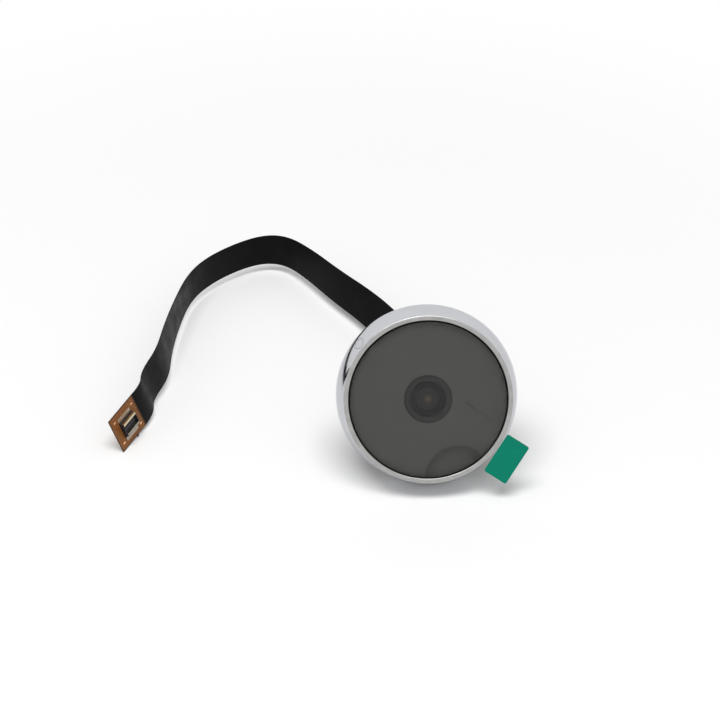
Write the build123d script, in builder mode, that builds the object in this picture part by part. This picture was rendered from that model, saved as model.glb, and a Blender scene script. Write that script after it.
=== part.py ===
from build123d import *
from math import atan2, cos, degrees, radians, sin, tan
import os

os.makedirs("parts", exist_ok=True)

# Peephole door camera, lying as photographed: on the lower edge of its round rim and on the end of
# its threaded tube, so that the window looks forward and up. All lengths are in millimetres.
# The origin is the centre of the face that lies against the door. Heights along the optical axis
# are counted from there, positive towards the window. Sizes are built up from the inside: the
# sensor sets the holder, the holder the board, the board the housing, and the cable sets the tube.

# Image sensor and lens holder
sensor_length = 7.6
sensor_width = 6.8
sensor_height = 0.7
sensor_gap = 0.6
sensor_headroom = 0.2
holder_wall_thickness = 3.2
holder_web_thickness = 0.3
holder_seat_depth = 0.2
holder_tower_height = 1.6
holder_tower_wall_thickness = 1.2
holder_aperture_share = 0.6
holder_ear_radius = 2.2
holder_screw_radius = 0.55
holder_screw_head_radius = 1.2
holder_screw_head_height = 0.5
holder_screw_bite_length = 1.2
filter_thickness = 0.25
filter_corner_gap = 0.24

# Lens
thread_radius = 4.2
thread_clearance = 0.05
barrel_gap = 0.3
barrel_lift_height = 0.15
barrel_head_step = 0.1
barrel_head_height = 1.5
front_pocket_wall_thickness = 1.1
front_pocket_depth = 1.1
aperture_radius = 2.0
aperture_web_height = 0.7
rear_pocket_wall_thickness = 1.3
glass_clearance = 0.05
front_glass_edge_height = 0.4
front_glass_dome_height = 0.55
front_glass_rim_width = 0.8
ring_thickness = 0.45
rear_glass_edge_height = 0.5
rear_glass_dome_height = 0.35
collar_seal_gap = 0.6
collar_seal_thickness = 1.5
lens_window_gap = 0.5

# Camera board and what it carries
board_thickness = 0.8
board_margin_width = 3.0
led_gap = 1.2
led_radial_length = 2.8
led_tangent_length = 3.5
led_height = 1.9
led_count = 6
led_dish_radius = 1.1
led_dish_depth = 0.4
light_sensor_length = 2.0
light_sensor_width = 1.6
light_sensor_height = 0.8
chip_length = 6.0
chip_height = 0.8
chip_gap = 0.6
capacitor_length = 1.0
capacitor_width = 0.5
capacitor_height = 0.5
capacitor_count = 4
capacitor_pitch = 2.6
capacitor_gap = 2.5
socket_margin_width = 1.1
socket_width = 3.2
socket_height = 1.5
socket_slot_depth = 1.2

# Screws that hold the board to the back plate, and the plate to the housing
board_screw_radius = 0.6
board_screw_bite_length = 1.0
board_screw_head_radius = 1.3
board_screw_head_height = 0.8
board_screw_angle = 30.0
board_screw_edge_width = 2.1
standoff_radius = 1.8
standoff_height = 0.8
plate_screw_radius = 0.75
plate_screw_length = 5.0
plate_screw_head_radius = 1.5
plate_screw_head_height = 0.9
plate_screw_count = 3
plate_screw_angle = 90.0
boss_radius = 2.3
boss_gap = 0.5
boss_wall_overlap = 0.5
boss_top_gap = 0.9
screw_clearance = 0.05
screw_tip_gap = 0.2
head_clearance = 0.3
driver_slot_width = 0.35
driver_slot_depth = 0.3

# Housing
side_lean_width = 2.2
lip_width = 1.45
window_step_width = 0.75
ledge_width = 1.0
ledge_thickness = 0.8
lip_bevel_length = 0.5
side_bulge_height = 0.45
rear_edge_radius = 0.4
rim_wall_thickness = 2.0
mark_radius = 0.9
mark_line_width = 0.2
mark_depth = 0.15
mark_angle = 141.0
mark_share = 0.66

# Window, its adhesive, the dark panel behind it, and the peel-off film with its tab
window_gap = 0.1
window_thickness = 1.5
window_recess_depth = 0.1
adhesive_thickness = 0.2
adhesive_inset_width = 0.1
panel_gap = 0.4
panel_hole_gap = 0.3
panel_thickness = 0.8
film_margin_width = 0.25
film_thickness = 0.1
ear_width = 12.6
ear_overlap_length = 4.0
ear_step_length = 1.0
ear_under_tab_length = 4.8
tab_length = 7.9
tab_width = 13.4
tab_thickness = 0.15
tab_gap = 0.4
tab_angle = -38.2
tab_turn_angle = 5.0
tab_corner_radius = 0.6

# Flat cable, the tube that it runs in, and the rubber plug that it leaves the tube through
cable_width = 12.0
cable_thickness = 0.3
cable_steps = 96
bend_share = 0.45
flat_lean_angle = 90.0
slot_clearance = 0.05
bore_gap = 0.7
tube_wall_thickness = 1.3
tube_length = 40.0
tube_chamfer_length = 0.6
shank_length = 6.0
groove_pitch = 1.5
groove_depth = 0.5
groove_flank_angle = 30.0
tube_land_step = 0.2
tube_land_proud_height = 0.3
tube_hole_clearance = 0.05
collar_width = 1.4
collar_floor_thickness = 0.15
collar_pocket_gap = 0.5
socket_gap = 0.15
plug_depth = 4.0
plug_gap = 0.1
plug_flange_step = 0.5
plug_flange_thickness = 1.0

# Door side: back plate and gasket
plate_seat_thickness = 0.5
plate_gap = 0.1
gasket_thickness = 1.5
gasket_proud_height = 0.5
gasket_margin_width = 0.3
gasket_tube_gap = 1.0

# Connector at the cable's far end
contact_count = 14
contact_pitch = 0.5
contact_width = 0.26
contact_thickness = 0.12
contact_tail_length = 2.0
contact_lap_share = 0.8
shell_end_length = 0.5
shell_width = 4.2
shell_height = 1.5
shell_wall_thickness = 0.6
shell_end_wall_thickness = 0.3
shell_floor_thickness = 0.4
shell_foot_width = 0.6
shell_foot_height = 0.5
shell_offset_width = 0.3
tongue_width = 0.9
tongue_end_gap = 0.6
tongue_drop_height = 0.6
connector_end_length = 3.5
connector_board_thickness = 0.2
stiffener_thickness = 0.3
stiffener_inset_width = 0.25
nub_length = 0.9
nub_width = 0.5
nub_share = 0.375
pad_length = 1.1
pad_width = 0.6
pad_height = 0.12
pad_end_gap = 2.05
pad_side_gap = 2.1

# General
overrun_length = 1.0

# Sizes that follow, from the sensor outwards to the rim
holder_size = sensor_length + 2 * (sensor_gap + holder_wall_thickness)
holder_pocket_height = sensor_height + sensor_headroom
holder_base_height = holder_pocket_height + holder_web_thickness + holder_seat_depth
holder_tower_radius = thread_radius + holder_tower_wall_thickness
filter_size = (thread_radius - filter_corner_gap) * 2 ** 0.5
barrel_head_radius = holder_tower_radius + barrel_head_step
front_pocket_radius = barrel_head_radius - front_pocket_wall_thickness
front_glass_dome_radius = front_pocket_radius - front_glass_rim_width
rear_pocket_radius = thread_radius - rear_pocket_wall_thickness
collar_seal_inner_radius = barrel_head_radius + collar_seal_gap
collar_seal_outer_radius = collar_seal_inner_radius + collar_seal_thickness
ear_hole_offset = holder_size / 2 + holder_ear_radius
chip_offset = holder_size / 2 + chip_gap + chip_length / 2
capacitor_offset = holder_size / 2 + capacitor_gap + capacitor_length / 2
led_circle_radius = ear_hole_offset + holder_ear_radius + led_gap + led_radial_length / 2
board_radius = led_circle_radius + led_radial_length / 2 + board_margin_width
board_screw_circle_radius = board_radius - board_screw_edge_width
plate_screw_circle_radius = board_radius + boss_gap + boss_radius
cavity_radius = plate_screw_circle_radius + boss_radius - boss_wall_overlap
ledge_radius = cavity_radius - ledge_width
window_bore_radius = cavity_radius + window_step_width
lip_radius = window_bore_radius + lip_width
rim_radius = lip_radius + side_lean_width
plate_bore_radius = rim_radius - rim_wall_thickness
plate_radius = plate_bore_radius - plate_gap
gasket_radius = plate_radius - gasket_margin_width
window_radius = window_bore_radius - window_gap
adhesive_inner_radius = ledge_radius + adhesive_inset_width
panel_radius = ledge_radius - panel_gap
panel_hole_radius = collar_seal_outer_radius + panel_hole_gap
film_radius = window_radius - film_margin_width
ear_start = film_radius - ear_overlap_length
ear_step = film_radius - ear_step_length
tab_start = lip_radius + tab_gap
ear_end = tab_start + ear_under_tab_length

# Sizes that follow, from the cable outwards to the tube
socket_length = cable_width + 2 * socket_margin_width
tube_bore_radius = cable_width / 2 + bore_gap
tube_radius = tube_bore_radius + tube_wall_thickness
tube_land_radius = tube_radius + tube_land_step
groove_flank_length = groove_depth * tan(radians(groove_flank_angle))
groove_floor_length = groove_pitch / 2 - groove_flank_length
groove_count = int((tube_length - tube_chamfer_length - shank_length) / groove_pitch)
collar_radius = tube_radius + collar_width
collar_pocket_radius = socket_length / 2 + collar_pocket_gap
collar_pocket_depth = socket_height - standoff_height + socket_gap
collar_thickness = collar_pocket_depth + collar_floor_thickness
plate_thickness = collar_thickness + plate_seat_thickness
plug_flange_radius = tube_bore_radius + plug_flange_step
shell_length = contact_pitch * (contact_count - 1) + 2 * shell_end_length
connector_length = shell_length + 2 * connector_end_length
pad_offset_length = connector_length / 2 - pad_end_gap
pad_offset_width = cable_width / 2 - pad_side_gap

# Places along the optical axis
rim_rear = gasket_proud_height
plate_rear = gasket_thickness
plate_front = plate_rear + plate_thickness
board_rear = plate_front + standoff_height
board_front = board_rear + board_thickness
holder_top = board_front + holder_base_height
tower_top = holder_top + holder_tower_height
web_bottom = board_front + holder_pocket_height
web_top = web_bottom + holder_web_thickness
barrel_bottom = web_top + filter_thickness + barrel_lift_height
head_bottom = tower_top + barrel_gap
head_top = head_bottom + barrel_head_height
window_rear = head_top + lens_window_gap
window_front = window_rear + window_thickness
lip_top = window_front + window_recess_depth
ledge_top = window_rear - adhesive_thickness
ledge_bottom = ledge_top - ledge_thickness
plug_face = -tube_length - plug_flange_thickness

# The tilt at which rim and tube end both touch the surface, and the surface's height
rim_contact = rim_rear + rear_edge_radius
tube_contact = tube_chamfer_length - tube_length
tilt = degrees(atan2(rim_radius - tube_radius, rim_contact - tube_contact))
optical_direction = Vector(0, -cos(radians(tilt)), sin(radians(tilt)))
optical = Plane(origin=(0, 0, 0), x_dir=(1, 0, 0), z_dir=optical_direction)
section = Plane(origin=(0, 0, 0), x_dir=(1, 0, 0), z_dir=(0, -sin(radians(tilt)), -cos(radians(tilt))))
optical_axis = Axis((0, 0, 0), optical_direction)
floor_z = rim_contact * sin(radians(tilt)) - rim_radius * cos(radians(tilt))

# Route of the free cable, chosen by hand: x and y from the point where it leaves the plug, height of
# the cable's middle over the surface, and how far the cable leans over from standing on its edge,
# in degrees. The first two points lie on the optical axis, so they are worked out.
first_run_length = 6.0
chosen_route = [
    (-2.5, 13.8, 5.2, 72),
    (-7.5, 22.8, 7.6, 35),
    (-15.0, 35.3, 8.8, 23),
    (-26.5, 50.3, 9.1, 16),
    (-35.5, 64.3, 9.1, 10),
    (-43.5, 73.8, 9.1, 4),
    (-52.0, 75.3, 9.1, -2),
    (-62.0, 69.8, 9.1, -3),
    (-72.0, 60.3, 9.1, -1),
    (-78.0, 49.3, 9.1, 0),
    (-81.5, 32.3, 9.1, 4),
    (-83.5, 18.3, 9.0, 9),
    (-84.5, 4.8, 8.7, 17),
    (-89.0, -6.7, 8.0, 15),
    (-88.5, -13.2, 7.5, 18),
    (-91.0, -18.2, 7.0, 20),
]


def on_axis(height):
    """The point of the optical axis at this height."""
    return optical_direction * height


def at(height):
    """The plane square to the optical axis at this height."""
    return optical.offset(height)


def turned_face(points):
    """A closed outline of radius and height pairs, ready to revolve about the optical axis."""
    with BuildSketch(section) as outline:
        with BuildLine():
            Polyline(*points, close=True)
        make_face()
    return outline.sketch


def finish(piece, name):
    """Label a piece and write it."""
    piece.part.label = name
    export_step(piece.part, "parts/" + name + ".step")
    print(name, len(piece.part.solids()), round(piece.part.volume, 2))


# Housing: chromed ring with a rolled side, a lip around the window and three screw bosses
side_start = (rim_radius, rim_rear + rear_edge_radius)
side_end = (lip_radius, lip_top - lip_bevel_length)
side_middle = (
    (side_start[0] + side_end[0]) / 2 + side_bulge_height,
    (side_start[1] + side_end[1]) / 2,
)
with BuildPart() as housing:
    with BuildSketch(section):
        with BuildLine():
            ThreePointArc(side_start, side_middle, side_end)
            Polyline(
                side_end,
                (lip_radius - lip_bevel_length, lip_top),
                (window_bore_radius, lip_top),
                (window_bore_radius, ledge_top),
                (ledge_radius, ledge_top),
                (ledge_radius, ledge_bottom),
                (cavity_radius, ledge_bottom),
                (cavity_radius, plate_front),
                (plate_bore_radius, plate_front),
                (plate_bore_radius, rim_rear),
                (rim_radius - rear_edge_radius, rim_rear),
                side_start,
            )
        make_face()
    revolve(axis=optical_axis)
    with BuildSketch(at(plate_front)):
        with PolarLocations(plate_screw_circle_radius, plate_screw_count, plate_screw_angle):
            Circle(boss_radius)
    extrude(amount=ledge_bottom - boss_top_gap - plate_front)
    with BuildSketch(at(plate_front)):
        with PolarLocations(plate_screw_circle_radius, plate_screw_count, plate_screw_angle):
            Circle(plate_screw_radius + screw_clearance)
    extrude(amount=plate_screw_length - plate_thickness + screw_tip_gap, mode=Mode.SUBTRACT)
    # A faint ring pressed into the side wall
    mark_radial = Vector(1, 0, 0).rotate(Axis.Z, mark_angle)
    mark_height = rim_rear + (lip_top - rim_rear) * mark_share
    mark_surface = rim_radius - (rim_radius - lip_radius) * mark_share + side_bulge_height
    mark_plane = Plane(
        origin=optical.from_local_coords(mark_radial * mark_surface + Vector(0, 0, mark_height)),
        x_dir=optical_direction,
        z_dir=optical.from_local_coords(mark_radial) - optical.origin,
    )
    with BuildSketch(mark_plane):
        Circle(mark_radius)
        Circle(mark_radius - mark_line_width, mode=Mode.SUBTRACT)
    extrude(amount=-mark_depth - side_bulge_height / 2, mode=Mode.SUBTRACT)
finish(housing, "housing")

# Front window: a smoked disc just below the lip
with BuildPart() as front_window:
    with BuildSketch(at(window_rear)):
        Circle(window_radius)
    extrude(amount=window_thickness)
finish(front_window, "front_window")

# Ring of adhesive between the window and the housing's ledge
with BuildPart() as window_adhesive:
    with BuildSketch(at(ledge_top)):
        Circle(window_radius)
        Circle(adhesive_inner_radius, mode=Mode.SUBTRACT)
    extrude(amount=adhesive_thickness)
finish(window_adhesive, "window_adhesive")

# Dark panel on the back of the window, which only infrared light passes
with BuildPart() as ir_panel:
    with BuildSketch(at(window_rear - panel_thickness)):
        Circle(panel_radius)
        Circle(panel_hole_radius, mode=Mode.SUBTRACT)
    extrude(amount=panel_thickness)
finish(ir_panel, "ir_panel")

# Protective film: a thin disc with an ear that crosses the lip
tab_outward = optical.x_dir * cos(radians(tab_angle)) + optical.y_dir * sin(radians(tab_angle))
tab_radial = Plane(origin=(0, 0, 0), x_dir=tab_outward, z_dir=optical_direction)
with BuildPart() as protective_film:
    with BuildSketch(at(window_front)):
        Circle(film_radius)
    extrude(amount=film_thickness)
    with BuildSketch(tab_radial.offset(window_front)):
        with Locations(((ear_start + ear_step) / 2, 0)):
            Rectangle(ear_step - ear_start, ear_width)
    extrude(amount=window_recess_depth + film_thickness)
    with BuildSketch(tab_radial.offset(lip_top)):
        with Locations(((ear_start + ear_end) / 2, 0)):
            Rectangle(ear_end - ear_start, ear_width)
    extrude(amount=film_thickness)
finish(protective_film, "protective_film")

# Green pull tab, stuck on the film's ear
with BuildPart() as pull_tab:
    with BuildSketch(tab_radial.offset(lip_top + film_thickness)):
        with Locations(Location((tab_start + tab_length / 2, 0), tab_turn_angle)):
            RectangleRounded(tab_length, tab_width, tab_corner_radius)
    extrude(amount=tab_thickness)
finish(pull_tab, "pull_tab")

# Back plate: closes the housing and carries the tube and the board
board_screw_spots = PolarLocations(board_screw_circle_radius, plate_screw_count, board_screw_angle).locations
with BuildPart() as back_plate:
    with BuildSketch(at(plate_rear)):
        Circle(plate_radius)
        Circle(tube_land_radius + tube_hole_clearance, mode=Mode.SUBTRACT)
        with PolarLocations(plate_screw_circle_radius, plate_screw_count, plate_screw_angle):
            Circle(plate_screw_radius + screw_clearance, mode=Mode.SUBTRACT)
    extrude(amount=plate_thickness)
    with BuildSketch(at(plate_front)):
        Circle(collar_radius + tube_hole_clearance)
    extrude(amount=-collar_thickness, mode=Mode.SUBTRACT)
    with BuildSketch(at(plate_front)):
        with Locations(*board_screw_spots):
            Circle(standoff_radius)
    extrude(amount=standoff_height)
    with BuildSketch(at(board_rear)):
        with Locations(*board_screw_spots):
            Circle(board_screw_radius + screw_clearance)
    extrude(amount=-(standoff_height + board_screw_bite_length + screw_tip_gap), mode=Mode.SUBTRACT)
finish(back_plate, "back_plate")

# Threaded tube: goes through the door, with a collar seated in the back plate. The thread is a row
# of grooves with a thread's section, from the tube's end up to a plain shank.
groove_outline = []
for groove in range(groove_count):
    groove_top = tube_contact + (groove + 1) * groove_pitch
    groove_outline += [
        (tube_radius, groove_top - groove_floor_length - groove_flank_length * 2),
        (tube_radius - groove_depth, groove_top - groove_floor_length - groove_flank_length),
        (tube_radius - groove_depth, groove_top - groove_flank_length),
        (tube_radius, groove_top),
    ]
with BuildPart() as threaded_tube:
    tube_outline = turned_face([
        (tube_bore_radius, -tube_length),
        (tube_radius - tube_chamfer_length, -tube_length),
        (tube_radius, tube_contact),
        *groove_outline,
        (tube_radius, -tube_land_proud_height),
        (tube_land_radius, -tube_land_proud_height),
        (tube_land_radius, plate_front - collar_thickness),
        (collar_radius, plate_front - collar_thickness),
        (collar_radius, plate_front),
        (collar_pocket_radius, plate_front),
        (collar_pocket_radius, plate_front - collar_pocket_depth),
        (tube_bore_radius, plate_front - collar_pocket_depth),
    ])
    revolve(tube_outline, axis=optical_axis)
finish(threaded_tube, "threaded_tube")

# Foam gasket against the door, with holes for the plate's screw heads
with BuildPart() as door_gasket:
    with BuildSketch(at(0)):
        Circle(gasket_radius)
        Circle(tube_land_radius + gasket_tube_gap, mode=Mode.SUBTRACT)
        with PolarLocations(plate_screw_circle_radius, plate_screw_count, plate_screw_angle):
            Circle(plate_screw_head_radius + head_clearance, mode=Mode.SUBTRACT)
    extrude(amount=gasket_thickness)
finish(door_gasket, "door_gasket")

# Screws that hold the back plate to the housing
with BuildPart() as plate_screws:
    with BuildSketch(at(plate_rear)):
        with PolarLocations(plate_screw_circle_radius, plate_screw_count, plate_screw_angle):
            Circle(plate_screw_head_radius)
    extrude(amount=-plate_screw_head_height)
    with BuildSketch(at(plate_rear)):
        with PolarLocations(plate_screw_circle_radius, plate_screw_count, plate_screw_angle):
            Circle(plate_screw_radius)
    extrude(amount=plate_screw_length)
    with BuildSketch(at(plate_rear - plate_screw_head_height)):
        with PolarLocations(plate_screw_circle_radius, plate_screw_count, plate_screw_angle):
            Rectangle(plate_screw_head_radius + overrun_length, driver_slot_width)
            Rectangle(driver_slot_width, plate_screw_head_radius + overrun_length)
    extrude(amount=driver_slot_depth, mode=Mode.SUBTRACT)
finish(plate_screws, "plate_screws")

# Camera board with holes for its own screws and the lens holder's
holder_screw_spots = [(ear_hole_offset, 0), (-ear_hole_offset, 0)]
with BuildPart() as camera_board:
    with BuildSketch(at(board_rear)):
        Circle(board_radius)
        with Locations(*board_screw_spots):
            Circle(board_screw_radius + screw_clearance, mode=Mode.SUBTRACT)
        with Locations(*holder_screw_spots):
            Circle(holder_screw_radius + screw_clearance, mode=Mode.SUBTRACT)
    extrude(amount=board_thickness)
finish(camera_board, "camera_board")

# Screws that hold the camera board to the back plate
with BuildPart() as board_screws:
    with BuildSketch(at(board_front)):
        with Locations(*board_screw_spots):
            Circle(board_screw_head_radius)
    extrude(amount=board_screw_head_height)
    with BuildSketch(at(board_front)):
        with Locations(*board_screw_spots):
            Circle(board_screw_radius)
    extrude(amount=-(board_thickness + standoff_height + board_screw_bite_length))
    with BuildSketch(at(board_front + board_screw_head_height)):
        with Locations(*board_screw_spots):
            Rectangle(board_screw_head_radius + overrun_length, driver_slot_width)
            Rectangle(driver_slot_width, board_screw_head_radius + overrun_length)
    extrude(amount=-driver_slot_depth, mode=Mode.SUBTRACT)
finish(board_screws, "board_screws")

# Image sensor in the middle of the board
with BuildPart() as image_sensor:
    with BuildSketch(at(board_front)):
        Rectangle(sensor_length, sensor_width)
    extrude(amount=sensor_height)
finish(image_sensor, "image_sensor")

# Infrared lamps in a circle around the lens
with BuildPart() as ir_leds:
    with BuildSketch(at(board_front)):
        with PolarLocations(led_circle_radius, led_count):
            Rectangle(led_radial_length, led_tangent_length)
    extrude(amount=led_height)
    with BuildSketch(at(board_front + led_height)):
        with PolarLocations(led_circle_radius, led_count):
            Circle(led_dish_radius)
    extrude(amount=-led_dish_depth, mode=Mode.SUBTRACT)
finish(ir_leds, "ir_leds")

# Light sensor that switches the lamps on
with BuildPart() as light_sensor:
    with BuildSketch(at(board_front)):
        with Locations((0, led_circle_radius)):
            Rectangle(light_sensor_length, light_sensor_width)
    extrude(amount=light_sensor_height)
finish(light_sensor, "light_sensor")

# Video chip below the lens holder
with BuildPart() as video_chip:
    with BuildSketch(at(board_front)):
        with Locations((0, -chip_offset)):
            Rectangle(chip_length, chip_length)
    extrude(amount=chip_height)
finish(video_chip, "video_chip")

# Row of small capacitors above the lens holder
with BuildPart() as capacitors:
    with BuildSketch(at(board_front)):
        with Locations((0, capacitor_offset)):
            with GridLocations(capacitor_pitch, 0, capacitor_count, 1):
                Rectangle(capacitor_width, capacitor_length)
    extrude(amount=capacitor_height)
finish(capacitors, "capacitors")

# Socket on the back of the board that the flat cable plugs into
with BuildPart() as flex_socket:
    with BuildSketch(at(board_rear - socket_height)):
        Rectangle(socket_length, socket_width)
    extrude(amount=socket_height)
    with BuildSketch(at(board_rear - socket_height)):
        Rectangle(cable_width + slot_clearance * 2, cable_thickness + slot_clearance * 2)
    extrude(amount=socket_slot_depth, mode=Mode.SUBTRACT)
finish(flex_socket, "flex_socket")

# Lens holder: a square foot over the sensor, two ears and a threaded tower
with BuildPart() as lens_holder:
    with BuildSketch(at(board_front)):
        Rectangle(holder_size, holder_size)
        Rectangle(ear_hole_offset * 2, holder_ear_radius * 2)
        with Locations(*holder_screw_spots):
            Circle(holder_ear_radius)
        with Locations(*holder_screw_spots):
            Circle(holder_screw_radius + screw_clearance, mode=Mode.SUBTRACT)
    extrude(amount=holder_base_height)
    with BuildSketch(at(holder_top)):
        Circle(holder_tower_radius)
    extrude(amount=holder_tower_height)
    with BuildSketch(at(board_front)):
        Rectangle(sensor_length + sensor_gap * 2, sensor_width + sensor_gap * 2)
    extrude(amount=holder_pocket_height, mode=Mode.SUBTRACT)
    with BuildSketch(at(web_top)):
        Circle(thread_radius + thread_clearance)
    extrude(amount=tower_top - web_top, mode=Mode.SUBTRACT)
    with BuildSketch(at(web_bottom)):
        Rectangle(sensor_length * holder_aperture_share, sensor_width * holder_aperture_share)
    extrude(amount=holder_web_thickness, mode=Mode.SUBTRACT)
finish(lens_holder, "lens_holder")

# Screws that hold the lens holder from behind the board
with BuildPart() as holder_screws:
    with BuildSketch(at(board_rear)):
        with Locations(*holder_screw_spots):
            Circle(holder_screw_head_radius)
    extrude(amount=-holder_screw_head_height)
    with BuildSketch(at(board_rear)):
        with Locations(*holder_screw_spots):
            Circle(holder_screw_radius)
    extrude(amount=board_thickness + holder_screw_bite_length)
finish(holder_screws, "holder_screws")

# Infrared-cut filter, lying on the holder's web
with BuildPart() as ir_filter:
    with BuildSketch(at(web_top)):
        Rectangle(filter_size, filter_size)
    extrude(amount=filter_thickness)
finish(ir_filter, "ir_filter")

# Lens barrel: threaded shank, wider head, a pocket for glass at each end
front_pocket_floor = head_top - front_pocket_depth
rear_pocket_roof = front_pocket_floor - aperture_web_height
with BuildPart() as lens_barrel:
    barrel_outline = turned_face([
        (rear_pocket_radius, barrel_bottom),
        (thread_radius, barrel_bottom),
        (thread_radius, head_bottom),
        (barrel_head_radius, head_bottom),
        (barrel_head_radius, head_top),
        (front_pocket_radius, head_top),
        (front_pocket_radius, front_pocket_floor),
        (aperture_radius, front_pocket_floor),
        (aperture_radius, rear_pocket_roof),
        (rear_pocket_radius, rear_pocket_roof),
    ])
    revolve(barrel_outline, axis=optical_axis)
finish(lens_barrel, "lens_barrel")


def dome_face(edge_radius, dome_radius, base, edge_top, rise):
    """Half the section of a glass disc with a flat edge and a domed middle."""
    crown_radius = (dome_radius ** 2 + rise ** 2) / (2 * rise)
    bow = crown_radius - (crown_radius ** 2 - dome_radius ** 2 / 4) ** 0.5 * (rise / abs(rise))
    with BuildSketch(section) as outline:
        with BuildLine():
            Polyline((0, edge_top + rise), (0, base), (edge_radius, base), (edge_radius, edge_top),
                     (dome_radius, edge_top))
            ThreePointArc((dome_radius, edge_top), (dome_radius / 2, edge_top + rise - bow),
                          (0, edge_top + rise))
        make_face()
    return outline.sketch


# Front lens glass, domed outwards
with BuildPart() as lens_front_glass:
    front_outline = dome_face(front_pocket_radius - glass_clearance, front_glass_dome_radius,
                              front_pocket_floor, front_pocket_floor + front_glass_edge_height,
                              front_glass_dome_height)
    revolve(front_outline, axis=optical_axis)
finish(lens_front_glass, "lens_front_glass")

# Ring that keeps the front glass in
with BuildPart() as lens_retaining_ring:
    with BuildSketch(at(front_pocket_floor + front_glass_edge_height)):
        Circle(front_pocket_radius - glass_clearance)
        Circle(front_glass_dome_radius + glass_clearance, mode=Mode.SUBTRACT)
    extrude(amount=ring_thickness)
finish(lens_retaining_ring, "lens_retaining_ring")

# Rear lens glass, seated under the aperture and domed towards the sensor
with BuildPart() as lens_rear_glass:
    rear_outline = dome_face(rear_pocket_radius - glass_clearance,
                             rear_pocket_radius - glass_clearance * 2, rear_pocket_roof,
                             rear_pocket_roof - rear_glass_edge_height, -rear_glass_dome_height)
    revolve(rear_outline, axis=optical_axis)
finish(lens_rear_glass, "lens_rear_glass")

# Rubber collar from the holder to the window, which keeps lamp light out of the lens
with BuildPart() as light_collar:
    with BuildSketch(at(holder_top)):
        Circle(collar_seal_outer_radius)
        Circle(collar_seal_inner_radius, mode=Mode.SUBTRACT)
    extrude(amount=window_rear - holder_top)
finish(light_collar, "light_collar")

# Rubber plug in the tube's end, slotted for the cable
with BuildPart() as cable_grommet:
    with BuildSketch(at(-tube_length)):
        Circle(tube_bore_radius - plug_gap)
    extrude(amount=plug_depth)
    with BuildSketch(at(-tube_length)):
        Circle(plug_flange_radius)
    extrude(amount=-plug_flange_thickness)
    with BuildSketch(at(plug_face)):
        Rectangle(cable_width + slot_clearance * 2, cable_thickness + slot_clearance * 2)
    extrude(amount=plug_depth + plug_flange_thickness, mode=Mode.SUBTRACT)
finish(cable_grommet, "cable_grommet")

# Flat cable inside the tube, from the board's socket to the plug's face
with BuildPart() as flex_tail:
    with BuildSketch(at(plug_face)):
        Rectangle(cable_width, cable_thickness)
    extrude(amount=board_rear - socket_height + socket_slot_depth - plug_face)
finish(flex_tail, "flex_tail")

# Free cable: the middle line is straight runs joined by tangent arcs
cable_exit = on_axis(plug_face)
route = [cable_exit, on_axis(plug_face - first_run_length)]
route += [Vector(x, cable_exit.Y + y, floor_z + height) for x, y, height, lean in chosen_route]
leans = [flat_lean_angle, flat_lean_angle] + [lean for x, y, height, lean in chosen_route]
runs = [(after - before).length for before, after in zip(route, route[1:])]
bends = [
    (route[k] - route[k - 1]).get_angle(route[k + 1] - route[k]) for k in range(1, len(route) - 1)
]
radii = [
    bend_share * min(runs[k], runs[k + 1]) / tan(radians(bends[k]) / 2) for k in range(len(bends))
]
print("cable bend radii", [round(radius, 1) for radius in radii])
path = FilletPolyline(*route, radius=radii)
run_ends = [sum(runs[:k]) / sum(runs) for k in range(len(route))]


def lean_at(share):
    """How far the cable leans over at this share of its length, in degrees."""
    k = max(i for i in range(len(runs)) if run_ends[i] <= share)
    return leans[k] + (leans[k + 1] - leans[k]) * (share - run_ends[k]) / (run_ends[k + 1] - run_ends[k])


def width_direction(heading, lean):
    """The way across the flat cable, from its lower edge to its upper one."""
    left = Vector(0, 0, 1).cross(heading).normalized()
    upright = heading.cross(left)
    return upright * cos(radians(lean)) - left * sin(radians(lean))


with BuildPart() as flex_cable:
    for step in range(cable_steps + 1):
        share = step / cable_steps
        heading = path.tangent_at(share)
        across = width_direction(heading, lean_at(share))
        with BuildSketch(Plane(origin=path.position_at(share), x_dir=across, z_dir=heading)):
            Rectangle(cable_width, cable_thickness)
    loft(ruled=True)
print("cable length", round(path.length, 1), "volume over section times length",
      round(flex_cable.part.volume / (path.length * cable_width * cable_thickness), 4))
print("cable above the surface", round(flex_cable.part.bounding_box().min.Z - floor_z, 2))
finish(flex_cable, "flex_cable")

# Connector board at the cable's end, in line with the last run. On its plane X runs on from the
# cable, Y runs down across the board, and the plane's normal is the side that carries the socket.
end_heading = (route[-1] - route[-2]).normalized()
end_across = width_direction(end_heading, leans[-1])
end_plane = Plane(origin=route[-1], x_dir=end_heading, z_dir=end_across.cross(end_heading))
end_top = connector_board_thickness / 2
with BuildPart() as connector_board:
    with BuildSketch(end_plane.offset(-end_top)):
        with Locations((connector_length / 2, 0)):
            Rectangle(connector_length, cable_width)
        with Locations((connector_length * nub_share, cable_width / 2 + nub_width / 2)):
            Rectangle(nub_length, nub_width)
    extrude(amount=connector_board_thickness)
finish(connector_board, "connector_board")

# Stiffener on the back of the connector board
with BuildPart() as board_stiffener:
    with BuildSketch(end_plane.offset(-end_top)):
        with Locations((connector_length / 2, 0)):
            Rectangle(connector_length - stiffener_inset_width * 2, cable_width - stiffener_inset_width * 2)
    extrude(amount=-stiffener_thickness)
finish(board_stiffener, "board_stiffener")

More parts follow.
